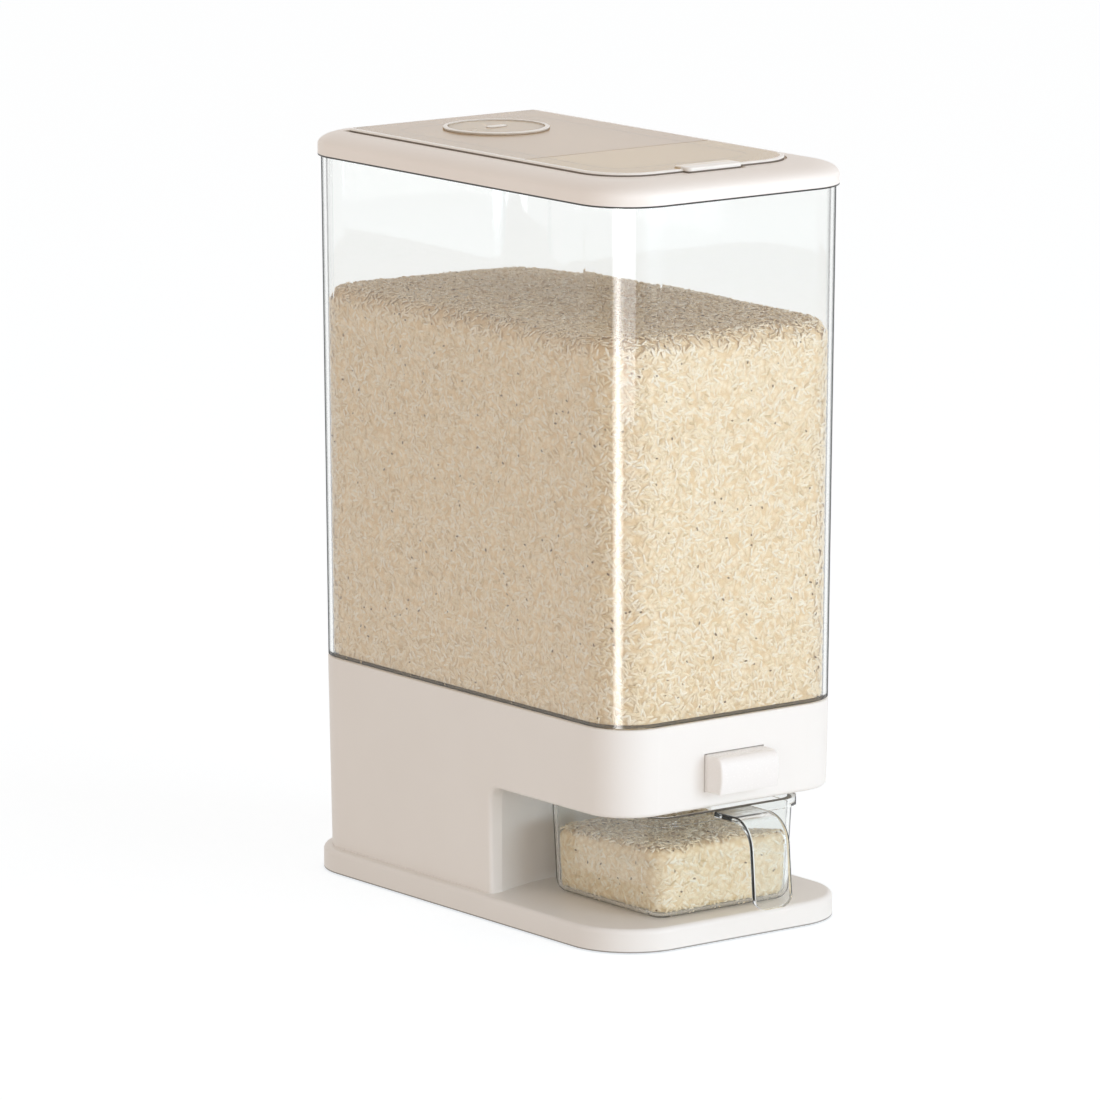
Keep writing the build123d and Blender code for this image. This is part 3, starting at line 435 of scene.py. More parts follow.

# %% [markdown]
# ## Tinted flap
#
# The flap is styrene too, but tinted taupe and etched to a satin. It lets some light through, so the
# chamber under it shows softly. That is a Principled shader with part of its body set to transmit. The flap
# has several tones: its front third is warmer, the finger tab is thick and lets no light through, and its
# pale colour is a painted highlight. A pale border round the flap is a painted highlight too and lets no
# light through, and under it the upright edge carries a painted shadow of the gap. Each tone is an overlay
# whose share comes from a place in the object: a depth, a height, or the distance from the flap's rounded
# outline. The outline is drawn past the hinge, because the border stops there.

# %% Body of the flap
FLAP_CLEAR, CLOUD_WIDTH, SATIN_WIDTH = 0.45, 80 * MM, 0.8 * MM
smoke_styrene, tree = new_material("taupe styrene, satin etched mould")
place = add_node(tree, "ShaderNodeTexCoord", {}, {}).outputs["Object"]
cloud = add_node(tree, "ShaderNodeTexNoise", {}, {"Vector": place, "Scale": 1 / CLOUD_WIDTH})
satin = add_node(tree, "ShaderNodeTexNoise", {}, {"Vector": place, "Scale": 1 / SATIN_WIDTH, "Detail": 2.0})
tint = add_node(tree, "ShaderNodeMix", {"data_type": "RGBA"}, {
    0: cloud.outputs[0], 6: linear("E1C8A5"), 7: linear("DCC29E")})
shine = add_node(tree, "ShaderNodeMapRange", {}, {0: satin.outputs[0], 3: 0.19, 4: 0.22})
sheet = add_node(tree, "ShaderNodeBsdfPrincipled", {}, {
    "Base Color": tint.outputs[2], "Roughness": shine.outputs[0], "IOR": 1.52,
    "Transmission Weight": FLAP_CLEAR})
let_light_through(tree, sheet, "C4BAAA")
dress(smoke_styrene, "lid_panel")
print("flap lets through", FLAP_CLEAR)

# %% Front third and tab
FRONT_LINE, SOFTNESS, TAB_HEIGHT = -23.5 * MM, 0.2 * MM, (416.8, 417.0)
parts = add_node(tree, "ShaderNodeSeparateXYZ", {}, {0: place})
front = add_node(tree, "ShaderNodeMapRange", {}, {
    0: parts.outputs["Y"], 1: FRONT_LINE + SOFTNESS, 2: FRONT_LINE - SOFTNESS})
overlay(tree, front.outputs[0], "E7CC97")
# Painted highlight: the raised finger tab is painted pale.
tab = height_share(tree, *TAB_HEIGHT)
overlay(tree, tab, "FBF1E1")
print("front third from", round(FRONT_LINE / MM, 1), "mm forward")

# %% Border highlight and gap shadow, both painted
PANEL_CORNER, TAB_REACH, PAST_HINGE = 28 * MM, 4.5 * MM, 30 * MM
BORDER_STARTS, BORDER_FULL, GAP_SHADOW_HEIGHT = 2.8 * MM, 2.2 * MM, (415.8, 415.5)
panel_low, panel_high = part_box("lid_panel")
panel_front, panel_rear = panel_low[1] + TAB_REACH, panel_high[1] + PAST_HINGE
outline = add_node(tree, "ShaderNodeVectorMath", {"operation": "SUBTRACT"}, {
    0: place, 1: (0, (panel_front + panel_rear) / 2, 0)})
outline = add_node(tree, "ShaderNodeVectorMath", {"operation": "ABSOLUTE"}, {0: outline.outputs[0]})
half_depth = (panel_rear - panel_front) / 2
outline = add_node(tree, "ShaderNodeVectorMath", {"operation": "SUBTRACT"}, {
    0: outline.outputs[0], 1: (panel_high[0] - PANEL_CORNER, half_depth - PANEL_CORNER, 1)})
outline = add_node(tree, "ShaderNodeVectorMath", {"operation": "MAXIMUM"}, {0: outline.outputs[0]})
from_corner = add_node(tree, "ShaderNodeVectorMath", {"operation": "LENGTH"}, {0: outline.outputs[0]})
border = add_node(tree, "ShaderNodeMapRange", {}, {
    0: from_corner.outputs["Value"], 1: PANEL_CORNER - BORDER_STARTS, 2: PANEL_CORNER - BORDER_FULL})
# Painted highlight: a band along the flap's outline is painted near white and, like the tab, lets no light
# through.
overlay(tree, border.outputs[0], "FFFCF6")
solid = add_node(tree, "ShaderNodeMath", {"operation": "MAXIMUM"}, {0: tab, 1: border.outputs[0]})
less_clear(tree, solid.outputs[0], FLAP_CLEAR)
# Painted shadow: the upright edge low on the flap is painted dark, for the shade in the gap under it.
edge, low = edge_share(tree), height_share(tree, *GAP_SHADOW_HEIGHT)
gap = add_node(tree, "ShaderNodeMath", {"operation": "MULTIPLY"}, {0: edge, 1: low})
overlay(tree, gap.outputs[0], "7E766D")
print("flap", round((panel_high[0] - panel_low[0]) / MM, 1), "mm wide")

# %% [markdown]
# ## Rubber, silicone and steel
#
# The seals are translucent silicone with a faint bloom, the feet are grey rubber. The screws are zinc
# plated, the springs and their rods are bright drawn steel, and the hinge pins are polished.

# %% Seals and feet
silicone = moulded_plastic("clear silicone, moulded", "DAD8D3", "D0CEC8", 0.45, 0.6 * MM, 0.10)
rubber = moulded_plastic("grey rubber, moulded", "8C8A87", "7F7D7A", 0.70, 0.5 * MM, 0.35)
dress(silicone, "hopper_gasket", "outlet_seal", "lid_seal", "panel_seal", "cap_seal")
dress(rubber, "rubber_feet")

# %% Steel
MARK_DEPTH, MARK_STRETCH = 0.05 * MM, 0.08


def bright_steel(name, code, rough, line_width, bump):
    """Drawn or plated steel with fine marks along Y."""
    material, tree = new_material(name)
    place = add_node(tree, "ShaderNodeTexCoord", {}, {}).outputs["Object"]
    long_marks = add_node(tree, "ShaderNodeMapping", {}, {"Vector": place, "Scale": (1, MARK_STRETCH, 1)})
    marks = add_node(tree, "ShaderNodeTexNoise", {}, {
        "Vector": long_marks.outputs[0], "Scale": 1 / line_width, "Detail": 2.0})
    shine = add_node(tree, "ShaderNodeMapRange", {}, {0: marks.outputs[0], 3: rough - 0.05, 4: rough + 0.08})
    relief = add_node(tree, "ShaderNodeBump", {}, {
        "Height": marks.outputs[0], "Strength": bump, "Distance": MARK_DEPTH})
    metal = add_node(tree, "ShaderNodeBsdfPrincipled", {}, {
        "Base Color": linear(code), "Metallic": 1.0, "Roughness": shine.outputs[0],
        "Normal": relief.outputs[0]})
    add_node(tree, "ShaderNodeOutputMaterial", {}, {"Surface": metal.outputs[0]})
    return material


zinc = bright_steel("steel, zinc plated", "CFD2D6", 0.32, 0.4 * MM, 0.2)
spring_steel = bright_steel("spring steel, drawn wire", "B9BABC", 0.25, 0.2 * MM, 0.1)
pin_steel = bright_steel("steel pin, polished", "D8D9DB", 0.12, 0.3 * MM, 0.05)
dress(zinc, "base_screws", "button_screws")
dress(spring_steel, "return_springs", "spring_rods")
dress(pin_steel, "hinge_pins")
dressed = [node for node in nodes.values() if node.material_slots and node.material_slots[0].material]
print("dressed", len(dressed), "of", len(nodes))

# %% [markdown]
# ## Return springs
#
# Pushing the button shortens the two springs behind it by its travel, 12 mm. The imported springs are rigid;
# here they are replaced by coils, which are built at rest. A coil is a tube of eight sides along a helix
# whose first and last turns lie close, as on a ground spring.

# %% A coil
CLOSE_ENDS = 0.09


def coil(centre_x, centre_z, start, end, radius, wire, turns, steps=24, sides=8):
    """Points, faces and map places of a spring along Y, in metres."""
    points, faces, flat = [], [], []
    count = turns * steps + 1
    for step in range(count):
        angle, share = 2 * math.pi * step / steps, step / (count - 1)
        rise = share - CLOSE_ENDS * math.sin(4 * math.pi * share) / math.pi
        hub = Vector((centre_x, start + rise * (end - start), centre_z))
        spoke = Vector((math.cos(angle), 0, math.sin(angle)))
        for side in range(sides):
            turn = 2 * math.pi * side / sides
            rim = spoke * (radius + wire * math.cos(turn)) + Vector((0, wire * math.sin(turn), 0))
            points.append(hub + rim)
            if step < count - 1:
                a, b = step * sides + side, step * sides + (side + 1) % sides
                faces.append((a, b, b + sides, a + sides))
                left, right = side / sides, (side + 1) / sides
                low, high = share, (step + 1) / (count - 1)
                flat += [(left, low), (right, low), (right, high), (left, high)]
    faces += [tuple(range(sides))[::-1], tuple(range(len(points) - sides, len(points)))]
    flat += [(0, 0)] * sides + [(1, 1)] * sides
    return points, faces, flat


print("points of one coil", len(coil(0, 0, 0, 1, 1, 0.1, 8)[0]))

# %% Return springs
def to_mesh(name, points, faces, flat, material, body):
    """Makes a smooth object that rides on a body. Points are in metres, flat is each corner's map place."""
    mesh = bpy.data.meshes.new(name)
    mesh.from_pydata([tuple(point) for point in points], [], faces)
    mesh.polygons.foreach_set("use_smooth", [True] * len(mesh.polygons))
    mesh.uv_layers.new(name="OFBake").uv.foreach_set("vector", np.asarray(flat, np.float32).ravel())
    mesh.materials.append(material)
    piece = bpy.data.objects.new(name, mesh)
    bpy.context.scene.collection.objects.link(piece)
    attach(piece, body)
    return piece


WIRE, COIL_RADIUS, TURNS, TRAVEL = 0.5 * MM, 2.9 * MM, 8, 12 * MM
spring_low, spring_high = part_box("return_springs")
centre_z = (spring_low[2] + spring_high[2]) / 2
points, faces, flat = [], [], []
for side in (-1, 1):
    centre_x = side * (spring_high[0] - COIL_RADIUS - WIRE)
    start, end = spring_low[1] + WIRE, spring_high[1] - WIRE
    more = coil(centre_x, centre_z, start, end, COIL_RADIUS, WIRE, TURNS)
    faces += [tuple(len(points) + corner for corner in face) for face in more[1]]
    points += more[0]
    flat += more[2]
coils = to_mesh("return_coils", points, faces, flat, spring_steel, "base")
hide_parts("return_springs")
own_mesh(coils)

# %% [markdown]
# ## The room inside the bin
#
# The rice touches the inside of the bin, so its outline follows the bin's: a rounded rectangle that grows a
# little with height, as every moulded box does. Below the seam it follows the hopper's slopes. The room
# could be cut out of the bin's mesh, but a moulded wall has one thickness, so the outside sizes of the
# pieces less their walls give it as well. A table holds the outline at each height where a slope changes,
# in millimetres from the bin's middle. Between two rows it is worked out in proportion.

# %% Sizes of the bin's inside
BIN_WALL, BIN_FLARE, BIN_CORNER = 2.6, 2.7, 27.4
SKIRT_WALL, SKIRT_CORNER = 2.2, 22.2
HOPPER_WALL, THROAT_HEIGHT, THROAT_CORNER = 2.0, 6.6, 4.0
KNEE_DROP, KNEE_CORNER = 10.5, 14.3


def plan(name, wall):
    """Half width, half depth and middle of a piece seen from above, less its wall, in millimetres."""
    low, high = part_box(name)
    half_x, half_y = (high[0] - low[0]) / 2, (high[1] - low[1]) / 2
    return half_x / MM - wall, half_y / MM - wall, ((high[1] + low[1]) / 2 - Y_MIDDLE) / MM


bin_x, bin_y, _ = plan("container", BIN_WALL)
skirt_x, skirt_y, _ = plan("hopper_gasket", SKIRT_WALL)
throat_x, throat_y, throat_middle = plan("outlet_seal", HOPPER_WALL)
throat_z, mouth_z = (corner[2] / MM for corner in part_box("hopper"))
seam_z, rim_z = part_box("lower_housing")[1][2] / MM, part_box("container")[1][2] / MM
print("bin inside", round(2 * bin_x, 1), "by", round(2 * bin_y, 1), "mm at its rim")

# %% The bin's room
fall = KNEE_DROP / (mouth_z - throat_z - THROAT_HEIGHT)
knee_x = skirt_x + fall * (throat_x - skirt_x)
knee_front = throat_middle - throat_y - HOPPER_WALL
knee_rear = skirt_y + fall * (throat_middle + throat_y - skirt_y)
BIN_ROOM = np.array([
    # height, half width, half depth, corner, middle of the depth
    (throat_z + HOPPER_WALL, throat_x, throat_y, THROAT_CORNER, throat_middle),
    (throat_z + THROAT_HEIGHT, throat_x, throat_y, THROAT_CORNER, throat_middle),
    (mouth_z - KNEE_DROP, knee_x, (knee_rear - knee_front) / 2, KNEE_CORNER,
     (knee_rear + knee_front) / 2),
    (mouth_z, skirt_x, skirt_y, SKIRT_CORNER, 0),
    (seam_z, skirt_x, skirt_y, SKIRT_CORNER, 0),
    (seam_z + BIN_WALL, bin_x - BIN_FLARE, bin_y - BIN_FLARE, BIN_CORNER - BIN_FLARE, 0),
    (rim_z, bin_x, bin_y, BIN_CORNER, 0)])


def room_of(table):
    """A function of height that gives half width, half depth, corner and middle, in millimetres."""
    return lambda z: tuple(np.interp(z, table[:, 0], table[:, column]) for column in (1, 2, 3, 4))


bin_room = room_of(BIN_ROOM)
print("room at the hopper's knee", np.round(bin_room(mouth_z - KNEE_DROP), 1))

# %% [markdown]
# The cup's room is worked out in the same way. Its floor meets its walls in a round foot, so a few rows
# follow that quarter circle.

# %% The cup's room
CUP_LIP, CUP_WALL, CUP_DRAFT = 2.2, 2.2, 3.0
CUP_FOOT, CUP_CORNER, CUP_DEPTH = 4.8, 11.8, 97.6
cup_low, cup_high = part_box("measuring_cup")
cup_floor, cup_rim = cup_low[2] / MM + CUP_WALL, cup_high[2] / MM
cup_x = cup_high[0] / MM - CUP_LIP - CUP_WALL
cup_middle = (cup_high[1] - Y_MIDDLE) / MM - CUP_LIP - CUP_WALL - CUP_DEPTH / 2
rows = [(cup_rim, cup_x, CUP_DEPTH / 2, CUP_CORNER, cup_middle)]
for turn in np.radians((90, 53, 30, 0)):
    z = cup_floor + CUP_FOOT * (1 - math.cos(turn))
    grow = -CUP_FOOT * (1 - math.sin(turn)) - CUP_DRAFT * (cup_rim - z) / (cup_rim - cup_floor)
    rows.append((z, cup_x + grow, CUP_DEPTH / 2 + grow, CUP_CORNER + grow, cup_middle))
CUP_ROOM = np.array(rows[::-1])
cup_room = room_of(CUP_ROOM)
print("room at the cup's floor", np.round(cup_room(cup_floor), 1))

# %% [markdown]
# ## Walking round an outline
#
# Both the bed of rice and the grains on the wall need points on a rounded rectangle. One function walks
# along it from the middle of its front, over straight legs and quarter circles in turn, and says where it
# stands and which way is out.

# %% A walk round the outline
def ring_length(room):
    """Length of a room's outline."""
    half_x, half_y, corner, _ = room
    return 4 * (half_x + half_y - 2 * corner) + 2 * math.pi * corner


def walk(room, distance):
    """The point and the outward normal on a room's outline, at a distance along it from its front middle."""
    half_x, half_y, corner, middle = room
    flat_x, flat_y, arc = half_x - corner, half_y - corner, corner * math.pi / 2
    legs = [flat_x, arc, 2 * flat_y, arc, 2 * flat_x, arc, 2 * flat_y, arc, flat_x]
    distance %= sum(legs)
    leg = 0
    while distance > legs[leg]:
        distance -= legs[leg]
        leg += 1
    if leg % 2:
        angle = (leg // 2 - 1) * math.pi / 2 + distance / corner
        normal = (math.cos(angle), math.sin(angle))
        centre = (flat_x if leg in (1, 3) else -flat_x, flat_y if leg in (3, 5) else -flat_y)
        return (centre[0] + corner * normal[0], middle + centre[1] + corner * normal[1]), normal
    normal = ((0, -1), (1, 0), (0, 1), (-1, 0), (0, -1))[leg // 2]
    along = (-normal[1], normal[0])
    reach, half_leg = (half_x, flat_y) if leg in (2, 6) else (half_y, flat_x)
    step = distance if leg == 0 else distance - half_leg
    return (normal[0] * reach + along[0] * step, middle + normal[1] * reach + along[1] * step), normal


print("round the bin", round(ring_length(bin_room(300))), "mm")
print("round the cup", round(ring_length(cup_room(50))), "mm")

# %% [markdown]
# ## The bed of rice
#
# Behind the grains that touch the wall is a solid bed. It could be filled with grains to the middle, but no
# one would see them. It is a stack of rings with a cap on top. The cap swells and sags by a few
# millimetres, because rice that was poured keeps slow waves, and it rounds over near the wall.

# %% Top of the rice
BIN_FILL, CUP_FILL = 329.5, 51.0
rng = np.random.default_rng(7)


def wave(x, y, size, shift):
    """A slow height wave in the range -1 to 1, from a few sines."""
    return (math.sin(x / size + shift) + math.sin(y / size * 0.8 + 2.1 * shift)
            + math.sin((x + y) / size * 0.6 + 0.7)) / 3


def bin_top(x, y):
    """Height of the rice in the bin: a little lower at the right and at the back."""
    return BIN_FILL - 0.020 * x - 0.012 * y + 2.2 * wave(x, y, 31, 0.4)


def cup_top(x, y):
    """Height of the rice in the cup: a little lower at the back."""
    return CUP_FILL - 0.02 * (y - cup_middle) + 1.5 * wave(x, y, 17, 1.3)


print("rice in the middle of the bin", round(bin_top(0, 0), 1), "mm high")

# %% Back to the frame
def in_frame(points):
    """Points in millimetres from the bin's middle as metres in the frame."""
    return (np.asarray(points, float) * MM + np.array([0, Y_MIDDLE, 0])).tolist()


print("the bin's middle in the frame", in_frame((0, 0, 0)))

# %% Rings of a bed
EDGE_STEPS, TOP_STEPS = 7, 22


def bed_rings(room, levels, inset, edge):
    """Rings as (level, drop below the top, distance from the wall). A ring over the top has no level."""
    half_x, half_y, _, _ = room(levels[-1])
    rings = [(level, 0, inset) for level in levels]
    for turn in np.linspace(0, math.pi / 2, EDGE_STEPS):
        rings.append((None, edge * (1 - math.sin(turn)), inset + edge * (1 - math.cos(turn))))
    for share in np.linspace(0.05, 0.98, TOP_STEPS):
        rings.append((None, 0, inset + edge + share * (min(half_x, half_y) - inset - edge)))
    return rings


def shrunk(half, in_by, border, least):
    """The share of a half size that is left: less a fixed width in the border, in proportion further in."""
    if in_by <= border:
        return (half - in_by) / half
    return (half - border) / half * (least - in_by) / (least - border)


print("rings of the cup's bed", len(bed_rings(cup_room, [20, 40], 1.1, 5.0)))

# %% A bed
def bed(name, room, levels, top, inset, edge, material, body, steps=160):
    """A bed from rings at the levels up to the rounded edge, then shrinking rings over the top."""
    rings = bed_rings(room, levels, inset, edge)
    border, least = inset + edge, min(room(levels[-1])[:2])
    points, faces, flat = [], [], []
    for level, drop, in_by in rings:
        half_x, half_y, corner, middle = at = room(levels[-1] if level is None else level)
        for step in range(steps):
            (x, y), _ = walk(at, ring_length(at) * step / steps)
            x = x * shrunk(half_x, in_by, border, least)
            y = middle + (y - middle) * shrunk(half_y, in_by, border, least)
            points.append((x, y, top(x, y) - drop if level is None else level))
    last = len(rings) - 1
    for ring in range(last):
        for step in range(steps):
            a, b = ring * steps + step, ring * steps + (step + 1) % steps
            faces.append((a, b, b + steps, a + steps))
            near, far = step / steps, (step + 1) / steps
            low, high = ring / (last + 1), (ring + 1) / (last + 1)
            flat += [(near, low), (far, low), (far, high), (near, high)]
    points += [tuple(np.mean(points[:steps], 0)), tuple(np.mean(points[-steps:], 0))]
    for step in range(steps):
        near, far, mapped = step / steps, (step + 1) / steps, last / (last + 1)
        faces.append((len(points) - 2, (step + 1) % steps, step))
        flat += [(near, 0), (far, 0), (near, 0)]
        faces.append((len(points) - 1, last * steps + step, last * steps + (step + 1) % steps))
        flat += [((near + far) / 2, 1), (near, mapped), (far, mapped)]
    return to_mesh(name, in_frame(points), faces, flat, material, body)


print("a bed shrinks to", round(shrunk(bin_x, 40, 12, bin_x), 2), "of its width 40 mm in")

# %% [markdown]
# The bed shows only through the chinks between grains, so it needs no grains of its own. A pattern of
# cells, 3.5 mm wide as a grain lies crosswise, gives it the look of more rice deeper in: pale in the middle
# of a cell, and the warm brown of the shade between grains at its rim.

# %% Packed rice
CELL_WIDTH, CELL_RELIEF = 3.5 * MM, 1 * MM
bed_rice, tree = new_material("polished rice, packed behind the first layer")
place = add_node(tree, "ShaderNodeTexCoord", {}, {}).outputs["Object"]
cells = add_node(tree, "ShaderNodeTexVoronoi", {}, {
    "Vector": place, "Scale": 1 / CELL_WIDTH, "Randomness": 1.0})
depth = add_node(tree, "ShaderNodeMapRange", {}, {0: cells.outputs["Distance"], 1: 0.1, 2: 0.7})
tint = add_node(tree, "ShaderNodeMix", {"data_type": "RGBA"}, {
    0: depth.outputs[0], 6: linear("FAE9CB"), 7: linear("E6CA9E")})
relief = add_node(tree, "ShaderNodeBump", {"invert": True}, {
    "Height": cells.outputs["Distance"], "Strength": 0.8, "Distance": CELL_RELIEF})
heap = add_node(tree, "ShaderNodeBsdfPrincipled", {}, {
    "Base Color": tint.outputs[2], "Roughness": 0.6, "Normal": relief.outputs[0]})
add_node(tree, "ShaderNodeOutputMaterial", {}, {"Surface": heap.outputs[0]})
print("cells", CELL_WIDTH / MM, "mm wide")

# %% The two beds
BIN_INSET, BIN_EDGE, CUP_INSET, CUP_EDGE = 1.3, 11.0, 1.1, 5.0
SAG = 6.0  # the last straight ring stays below the lowest place of the rounded edge
bin_levels = [BIN_ROOM[0, 0] + 1, *BIN_ROOM[1:6, 0], 180, 240, BIN_FILL - BIN_EDGE - SAG]
bin_bed = bed("rice_bed_bin", bin_room, bin_levels, bin_top, BIN_INSET, BIN_EDGE, bed_rice, "base")
cup_levels = [cup_floor + 0.4, *CUP_ROOM[1:4, 0], 30, CUP_FILL - CUP_EDGE - SAG]
cup_bed = bed("rice_bed_cup", cup_room, cup_levels, cup_top, CUP_INSET, CUP_EDGE, bed_rice, "cup", 96)
print("beds", len(bin_bed.data.polygons), len(cup_bed.data.polygons), "faces")

# %% [markdown]
# ## Grains
#
# A grain of long rice is about 6 mm long and 1.8 mm thick, with blunt ends. The picture shows a finer
# texture than that, so the grains are drawn 4.4 to 5.9 mm long. The first layer against a clear wall lies
# flat on it, in every direction, and overlaps its neighbours. Only its front can be seen, so such a grain
# is an open spindle of eight triangles that is shaded smooth. A grain on the top of the heap is seen from
# all sides and is a closed spindle of sixteen. Copies scattered by a modifier would be shorter to write,
# but the model is kept as plain meshes. So one mesh holds all the grains of one wall, with a number for
# each that its material turns into a cream of its own. A few are short brown bits of husk.

# %% One grain
GRAIN_SIZES, HUSK_SIZES = ((4.4, 5.9), (1.25, 1.6)), ((1.2, 2.3), (0.8, 1.1))
HUSK_SHARE, HUSK_LONGEST = 0.016, 2.4
SECTIONS = ((-0.26, 0.47), (0.27, 0.45))  # place along a grain of length 1, and half its thickness there


def size_of_grain():
    """Length and thickness in millimetres. One in sixty is a short bit of husk."""
    sizes = HUSK_SIZES if rng.random() < HUSK_SHARE else GRAIN_SIZES
    return [rng.uniform(*size) for size in sizes]


def grain_shape(sides, closed):
    """Points, faces and map places of a grain one unit long and thick. An open one lacks its back."""
    lines = [-math.pi / 2, 0, math.pi / 2]
    if closed:
        lines = [2 * math.pi * side / sides for side in range(sides)]
    count, strips = len(lines), sides if closed else 2
    points = [(-0.5, 0, 0)]
    for x, thick in SECTIONS:
        points += [(x, thick * math.sin(angle), thick * math.cos(angle)) for angle in lines]
    points.append((0.5, 0, 0))
    faces, flat = [], []
    for side in range(strips):
        near, far = 1 + side, 1 + (side + 1) % count
        faces += [(0, near, far), (near, far + count, far), (near, near + count, far + count),
                  (near + count, 2 * count + 1, far + count)]
        left, right = side / strips, (side + 1) / strips
        middle = (left + right) / 2
        flat += [(middle, 0), (left, 0.25), (right, 0.25), (left, 0.25), (right, 0.75), (right, 0.25),
                 (left, 0.25), (left, 0.75), (right, 0.75), (left, 0.75), (middle, 1), (right, 0.75)]
    return np.array(points), np.array(faces), np.array(flat)


WALL_GRAIN, TOP_GRAIN = grain_shape(3, False), grain_shape(4, True)
print("triangles of a grain", len(WALL_GRAIN[1]), "on a wall,", len(TOP_GRAIN[1]), "on the top")

# %% [markdown]
# ## Where the grains lie
#
# Dropping thousands of grains in a simulation would take minutes. A still heap looks the same if each grain
# gets a random place on the surface, a random turn in its plane, a small lean, and a depth that lets some
# lie over others. In a rounded corner a straight grain touches the wall with its ends, and its middle is
# further in. Depths are in millimetres, turns and leans in radians.

# %% Places on a wall
WAVES, UNDER_TOP = 5, 6.0
SUNK, LOOSE, LEAN, TURN = 0.40, 0.25, 0.06, 1.1


def wall_places(room, low, top, start, stop, area, gap):
    """Places for grains on the wall, between two shares of the way round, one for each bit of area."""
    high = top(0, room(low)[3]) + WAVES
    length = (stop - start) * ring_length(room(high))
    places = []
    for _ in range(int(length * (high - low) / area)):
        z = rng.uniform(low, high)
        at = room(z)
        (x, y), normal = walk(at, ring_length(at) * rng.uniform(start, stop))
        if z > top(x, y) - UNDER_TOP:
            continue
        (grain, thick), lean = size_of_grain(), rng.normal(0, LEAN)
        deep = gap + thick * SUNK + rng.exponential(LOOSE) + abs(math.sin(lean)) * grain / 2
        if abs(normal[0] * normal[1]) > 1e-6:
            deep += (grain / 2) ** 2 / (2 * at[2])
        point = (x - normal[0] * deep, y - normal[1] * deep, z)
        places.append((point, (*normal, 0), rng.normal(0, TURN), grain, thick, lean))
    return places


print("a corner moves a grain of 5 mm in by", round(2.5 ** 2 / (2 * BIN_CORNER), 2), "mm")

# %% [markdown]
# On the top, a grain's normal points up. Where the heap rounds over towards the wall, it tips outward with
# the slope, and the grain sinks as deep as the quarter circle does there.

# %% Places on the top
KEEP_OFF, STEEPEST, TOP_LEAN, LIFT = 1.0, 0.95, 0.12, (0.1, 0.9)


def nearest_wall(x, y, half_x, half_y, corner):
    """Distance from a point to the outline, and the direction towards it."""
    from_x, from_y = abs(x) - (half_x - corner), abs(y) - (half_y - corner)
    if from_x > 0 and from_y > 0:
        long = math.hypot(from_x, from_y)
        near, out = corner - long, (from_x / long, from_y / long)
    elif half_x - abs(x) < half_y - abs(y):
        near, out = half_x - abs(x), (1, 0)
    else:
        near, out = half_y - abs(y), (0, 1)
    return near, (math.copysign(out[0], x), math.copysign(out[1], y))


def top_places(room, level, top, area, inset, edge):
    """Places for grains that lie on the top of the bed and tip outward where it rounds over."""
    half_x, half_y, corner, middle = room(level)
    places = []
    for _ in range(int(4 * half_x * half_y / area)):
        x, y = rng.uniform(-half_x, half_x), rng.uniform(-half_y, half_y)
        near, out = nearest_wall(x, y, half_x, half_y, corner)
        if near < inset + KEEP_OFF:
            continue
        steep = min(max(edge + inset - near, 0) / edge, STEEPEST)
        level_share = math.sqrt(1 - steep ** 2)
        z = top(x, middle + y) - edge * (1 - level_share) + rng.uniform(*LIFT)
        tilt_x, tilt_y, lean = rng.normal(0, TOP_LEAN, 3)
        normal = (steep * out[0] + tilt_x, steep * out[1] + tilt_y, level_share)
        places.append(((x, middle + y, z), normal, rng.uniform(0, math.pi), *size_of_grain(), lean))
    return places


print("nearest wall, from 5 mm", nearest_wall(bin_x - 5, 0, bin_x, bin_y, BIN_CORNER))

# %% [markdown]
# A mesh of many grains is one shape, turned and scaled for each place. Three directions do that: along the
# grain, across it and out of the wall. The small map gives each grain a cell of its own, so that its colour
# can be baked to a picture.

# %% A mesh of grains
MARGIN, DEPTH_SHARE = 0.06, 0.8


def map_cells(flat, count):
    """Gives each grain its own small cell of the map, about half as wide as it is high."""
    rows = max(1, round(math.sqrt(0.5 * count)))
    columns = -(-count // rows)
    cells = np.arange(count)
    corner = np.stack([cells % columns, cells // columns], 1)[:, None, :]
    return ((corner + MARGIN + (1 - 2 * MARGIN) * flat[None]) / (columns, rows)).reshape(-1, 2)


def grains(name, places, shape, material, body):
    """One mesh of grains. Each place is (point, normal, angle, length, thickness, lean). Short ones are bits
    of husk, and their tint is 0."""
    shape_points, shape_faces, shape_flat = shape
    count = len(shape_points)
    points, tints = [], []
    for point, normal, angle, length, thick, lean in places:
        n = Vector(normal).normalized()
        side = n.cross(Vector((0, 0, 1)) if abs(n.z) < 0.9 else Vector((0, 1, 0))).normalized()
        other = n.cross(side)
        along = (math.cos(angle) * side + math.sin(angle) * other) * math.cos(lean) + n * math.sin(lean)
        across = n.cross(along).normalized()
        outward = along.cross(across)
        turned = np.array([along * length, across * thick, outward * thick * DEPTH_SHARE])
        points.append(shape_points @ turned + np.array(point))
        tints += [0.0 if length < HUSK_LONGEST else float(rng.uniform(0.03, 1))] * count
    faces = (shape_faces[None] + count * np.arange(len(places))[:, None, None]).reshape(-1, 3)
    flat = map_cells(shape_flat, len(places))
    piece = to_mesh(name, in_frame(np.concatenate(points)), faces.tolist(), flat, material, body)
    piece.data.attributes.new("grain", "FLOAT", "POINT").data.foreach_set("value", tints)
    print(name, len(places), "grains", len(faces), "triangles")
    return piece


print("first cell of 100", map_cells(TOP_GRAIN[2], 100)[0].round(3))

# %% [markdown]
# ## Polished rice
#
# Milled and polished rice has a smooth skin with a dull shine, over a body that is chalky in places. The
# grain's own number picks its cream from a ramp, whose first colour is kept for husk. A fine noise, 1.5 mm
# wide, is the chalk.

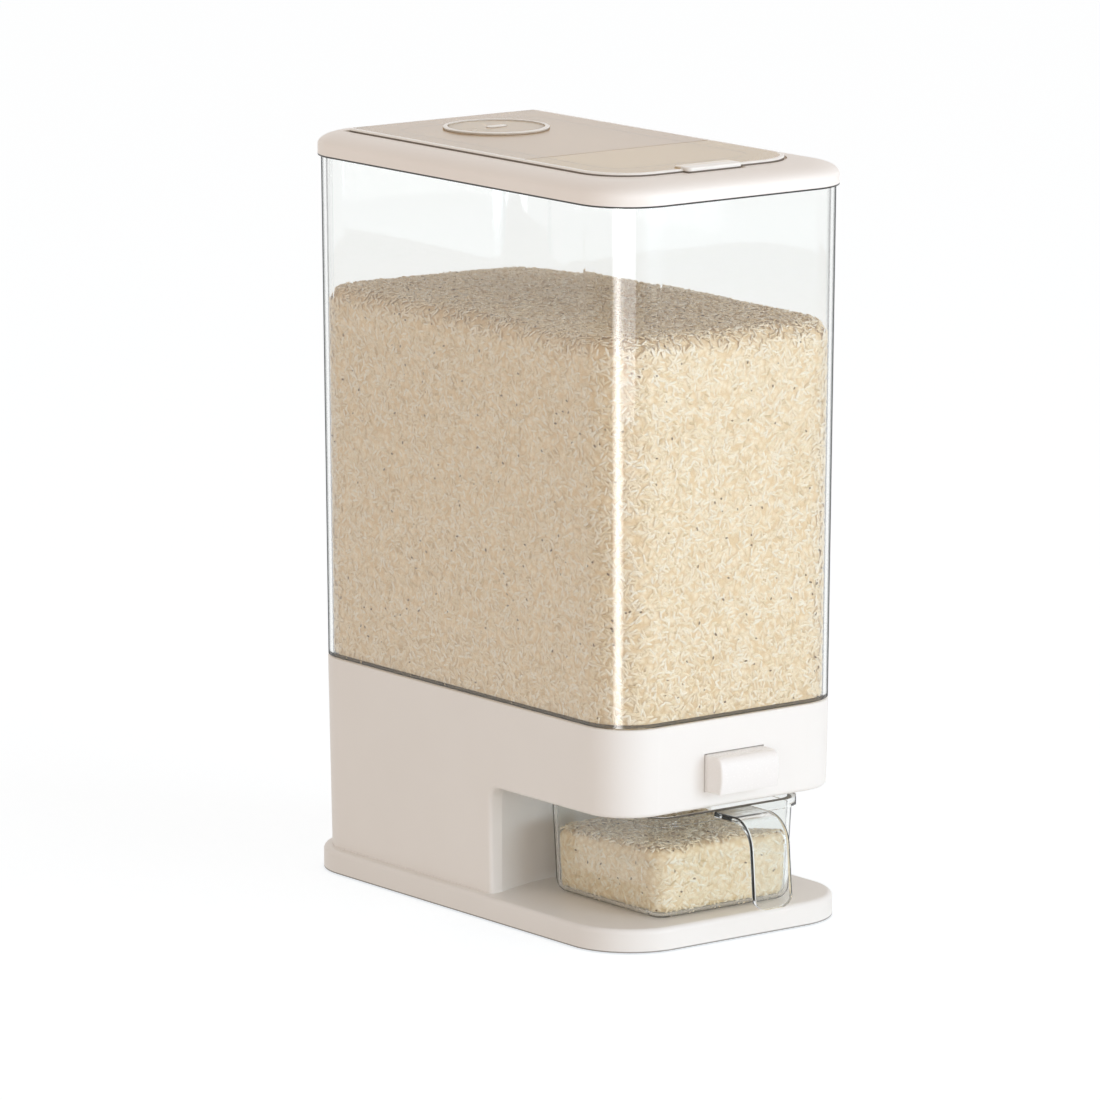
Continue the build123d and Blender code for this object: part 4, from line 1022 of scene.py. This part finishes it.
# %% Grain skin
CHALK_WIDTH = 1.5 * MM
grain_rice, tree = new_material("polished long grain rice")
mark = add_node(tree, "ShaderNodeAttribute", {"attribute_name": "grain"}, {})
place = add_node(tree, "ShaderNodeTexCoord", {}, {}).outputs["Object"]
chalk = add_node(tree, "ShaderNodeTexNoise", {}, {"Vector": place, "Scale": 1 / CHALK_WIDTH})
ramp = add_node(tree, "ShaderNodeValToRGB", {}, {0: mark.outputs["Fac"]})
creams = [(0.0, "7A5C36"), (0.03, "D9BC8C"), (0.10, "F3DDB6"), (0.60, "FAE8C9"), (1.0, "FEF3DE")]
for where, _ in creams[1:-1]:
    ramp.color_ramp.elements.new(where)
for element, (where, code) in zip(ramp.color_ramp.elements, creams):
    element.position, element.color = where, linear(code)
tint = add_node(tree, "ShaderNodeMix", {"data_type": "RGBA", "blend_type": "MULTIPLY"}, {
    0: 0.12, 6: ramp.outputs[0], 7: chalk.outputs[0]})
skin = add_node(tree, "ShaderNodeBsdfPrincipled", {}, {
    "Base Color": tint.outputs[2], "Roughness": 0.42, "IOR": 1.5})
add_node(tree, "ShaderNodeOutputMaterial", {}, {"Surface": skin.outputs[0]})
print("creams", [code for _, code in creams])

# %% Grains in the bin
BIN_AREA, CUP_AREA, TOP_AREA = 5.4, 5.2, 4.8  # square millimetres for each grain
WALL_GAP, ABOVE_SEAM, ABOVE_FLOOR = 0.35, 0.5, 1.3
low = seam_z + BIN_WALL + ABOVE_SEAM
for number in range(4):
    spots = wall_places(bin_room, low, bin_top, number / 4, (number + 1) / 4, BIN_AREA, WALL_GAP)
    grains(f"rice_grains_wall_{number + 1}", spots, WALL_GRAIN, grain_rice, "base")
spots = top_places(bin_room, BIN_FILL, bin_top, TOP_AREA, BIN_INSET, BIN_EDGE)
grains("rice_grains_top", spots, TOP_GRAIN, grain_rice, "base")

# %% Grains in the cup
spots = wall_places(cup_room, cup_floor + ABOVE_FLOOR, cup_top, 0.0, 1.0, CUP_AREA, WALL_GAP)
grains("rice_grains_cup_wall", spots, WALL_GRAIN, grain_rice, "cup")
spots = top_places(cup_room, CUP_FILL, cup_top, TOP_AREA, CUP_INSET, CUP_EDGE)
grains("rice_grains_cup_top", spots, TOP_GRAIN, grain_rice, "cup")
